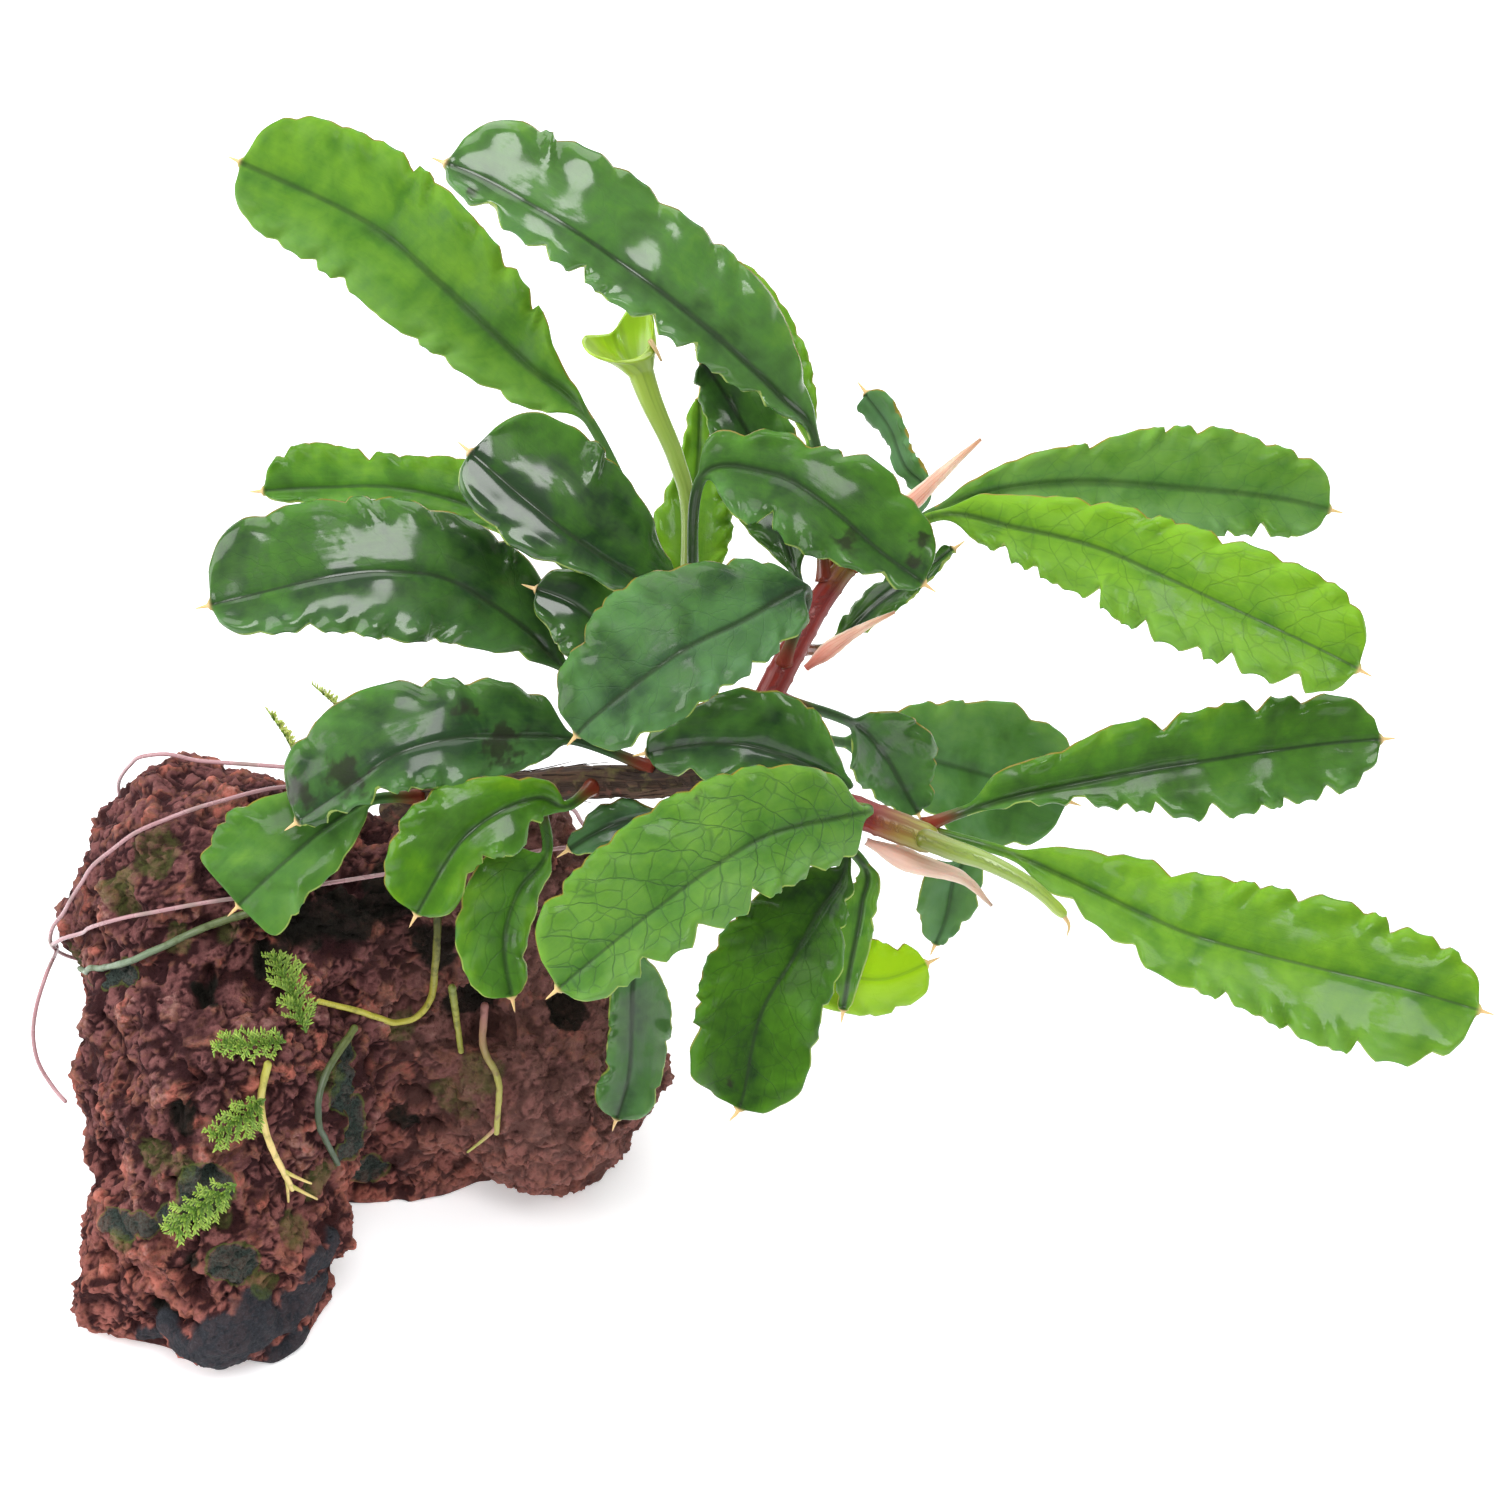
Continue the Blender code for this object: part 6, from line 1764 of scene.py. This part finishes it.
def make_tie_line(sizes):
    """One length of clear line, wound three times round the rock and the rhizome, with a loose bight."""
    surface = rock_surface()
    ground = cad_mesh("lava_rock")
    ground.from_mesh(frame["nodes"]["rhizome"].data)
    around = BVHTree.FromBMesh(ground)
    turns = [taut_turn(ground, surface, turn) for turn in LINE_TURNS]
    route = []
    for turn, following in zip(turns, turns[1:]):
        for step, (here, there) in enumerate(zip(turn, following)):
            share = max(0.0, (step / LINE_STEPS - 1 + LINE_CHANGE) / LINE_CHANGE)
            route.append(here.lerp(there, share))
    route += turns[-1][:round(LINE_STEPS * LINE_LAST_TURN)]
    route = kept_clear(around, route, LINE_LIFT)
    route += [seen(*place) for place in LINE_BIGHT]
    path = smooth_path(route, round(path_length(route) / LINE_ROUGH_ROW))
    path = smooth_path(kept_clear(around, path, LINE_LIFT), round(path_length(path) / LINE_ROW))
    bm = bmesh.new()
    add_tube(bm, path, lambda share, angle: LINE_RADIUS * 1.1, LINE_SIDES)
    faced_outwards(bm)
    add_piece("wound_tie_line", bm, line_finish(sizes), "tie_line")


FLOOR_HALF = 2.5
LIT_PLACE = Vector((20 * MM, 0, 40 * MM))


def add_softbox(name, away, size, power):
    """A square lamp, so far from the lit place, turned towards it."""
    data = bpy.data.lights.new(name, "AREA")
    data.shape = "SQUARE"
    data.size = size
    data.energy = power
    lamp = add_object(name, data)
    lamp.location = LIT_PLACE + Vector(away)
    lamp.rotation_euler = (-Vector(away)).to_track_quat("-Z", "Y").to_euler()


def make_stage(sizes):
    """A pale floor, three soft lights, and the camera at the photograph's view."""
    scene = bpy.context.scene
    scene.view_settings.view_transform = "Standard"
    bm = bmesh.new()
    bmesh.ops.create_grid(bm, x_segments=1, y_segments=1, size=FLOOR_HALF)
    mesh = mesh_from("floor", bm)
    f = Finish("pale_floor", {"Roughness": 0.9, "Specular IOR Level": 0.2, "Emission Color": (1, 1, 1, 1),
                              "Emission Strength": sizes.glow})
    mesh.materials.append(f.done(f.blend(f.noise(0.05), sizes.floor, [part * 0.985 for part in sizes.floor])))
    floor = add_object("floor", mesh)
    add_softbox("softbox_above", (0.10, -0.25, 0.60), sizes.softbox, sizes.power)
    add_softbox("softbox_left", (-0.75, -0.05, 0.45), 0.80, sizes.left)
    add_softbox("softbox_behind", (0.10, 0.55, 0.60), 0.90, sizes.back)
    world = bpy.data.worlds.new("soft_room")
    world.use_nodes = True
    sky = world.node_tree.nodes["Background"].inputs
    sky["Color"].default_value = (1.0, 1.0, 1.0, 1)
    sky["Strength"].default_value = sizes.sky
    scene.world = world
    camera = add_object("camera", bpy.data.cameras.new("camera"))
    camera.location = VIEW_CENTRE + NEARER * VIEW_DISTANCE
    camera.rotation_euler = (math.pi / 2 - VIEW_TILT, 0, 0)
    camera.data.sensor_width = SENSOR_WIDTH
    camera.data.lens = SENSOR_WIDTH * VIEW_DISTANCE / PHOTO_WIDTH
    camera.data.clip_start = 0.01
    scene.camera = camera


class PLANT_OT_stage(bpy.types.Operator):
    """Lay the floor, hang the light and set the camera"""

    bl_idname = "plant.stage"
    bl_label = "Stage"

    def execute(self, context):
        make_stage(context.scene.plant_stage)
        return {"FINISHED"}


class PLANT_OT_rock(bpy.types.Operator):
    """Roughen the lava rock and colour its crust and algae"""

    bl_idname = "plant.rock"
    bl_label = "Lava rock"

    def execute(self, context):
        make_rock(context.scene.plant_rock)
        return {"FINISHED"}


class PLANT_OT_stems(bpy.types.Operator):
    """Make the rhizome and its three shoots"""

    bl_idname = "plant.stems"
    bl_label = "Rhizome and shoots"

    def execute(self, context):
        make_stems(context.scene.plant_stems)
        return {"FINISHED"}


class PLANT_OT_leaves(bpy.types.Operator):
    """Make every open leaf"""

    bl_idname = "plant.leaves"
    bl_label = "Leaves"

    def execute(self, context):
        make_leaves(context.scene.plant_leaves, context.scene.plant_stems)
        return {"FINISHED"}


class PLANT_OT_rolled_leaves(bpy.types.Operator):
    """Make the two leaves that are still rolled"""

    bl_idname = "plant.rolled_leaves"
    bl_label = "Rolled leaves"

    def execute(self, context):
        make_unrolling_leaf(context.scene.plant_leaves)
        make_furled_leaf(context.scene.plant_leaves)
        return {"FINISHED"}


class PLANT_OT_sheaths(bpy.types.Operator):
    """Make the papery sheaths"""

    bl_idname = "plant.sheaths"
    bl_label = "Sheaths"

    def execute(self, context):
        make_sheaths(context.scene.plant_stems)
        return {"FINISHED"}


class PLANT_OT_roots(bpy.types.Operator):
    """Lay the roots on the finished rock"""

    bl_idname = "plant.roots"
    bl_label = "Roots"

    def execute(self, context):
        make_roots()
        return {"FINISHED"}


class PLANT_OT_moss(bpy.types.Operator):
    """Grow the sprigs of moss"""

    bl_idname = "plant.moss"
    bl_label = "Moss"

    def execute(self, context):
        make_moss(context.scene.plant_moss)
        return {"FINISHED"}


class PLANT_OT_tie_line(bpy.types.Operator):
    """Wind the tie line round rock and rhizome"""

    bl_idname = "plant.tie_line"
    bl_label = "Tie line"

    def execute(self, context):
        make_tie_line(context.scene.plant_moss)
        return {"FINISHED"}


OPERATORS = (PLANT_OT_stage, PLANT_OT_rock, PLANT_OT_stems, PLANT_OT_leaves, PLANT_OT_rolled_leaves,
             PLANT_OT_sheaths, PLANT_OT_roots, PLANT_OT_moss, PLANT_OT_tie_line)
SETTINGS = {
    "plant_rock": PlantRockSizes,
    "plant_leaves": PlantLeafSizes,
    "plant_stems": PlantStemSizes,
    "plant_moss": PlantMossSizes,
    "plant_stage": PlantStageSizes,
}


class VIEW3D_PT_plant(bpy.types.Panel):
    """Lists the steps that make the plant, and their settings."""

    bl_label = "Bucephalandra"
    bl_space_type = "VIEW_3D"
    bl_region_type = "UI"
    bl_category = "Plant"

    def draw(self, context):
        for operator in OPERATORS:
            self.layout.operator(operator.bl_idname)
        for name, group in SETTINGS.items():
            box = self.layout.box()
            for field in group.__annotations__:
                box.prop(getattr(context.scene, name), field)


def register():
    for group in (*SETTINGS.values(), *OPERATORS, VIEW3D_PT_plant):
        bpy.utils.register_class(group)
    for name, group in SETTINGS.items():
        setattr(bpy.types.Scene, name, PointerProperty(type=group))


def unregister():
    for name in SETTINGS:
        delattr(bpy.types.Scene, name)
    for group in reversed((*SETTINGS.values(), *OPERATORS, VIEW3D_PT_plant)):
        bpy.utils.unregister_class(group)


def main():
    register()
    for operator in OPERATORS:
        getattr(bpy.ops.plant, operator.bl_idname.split(".")[1])()


if __name__ == "__main__":
    main()
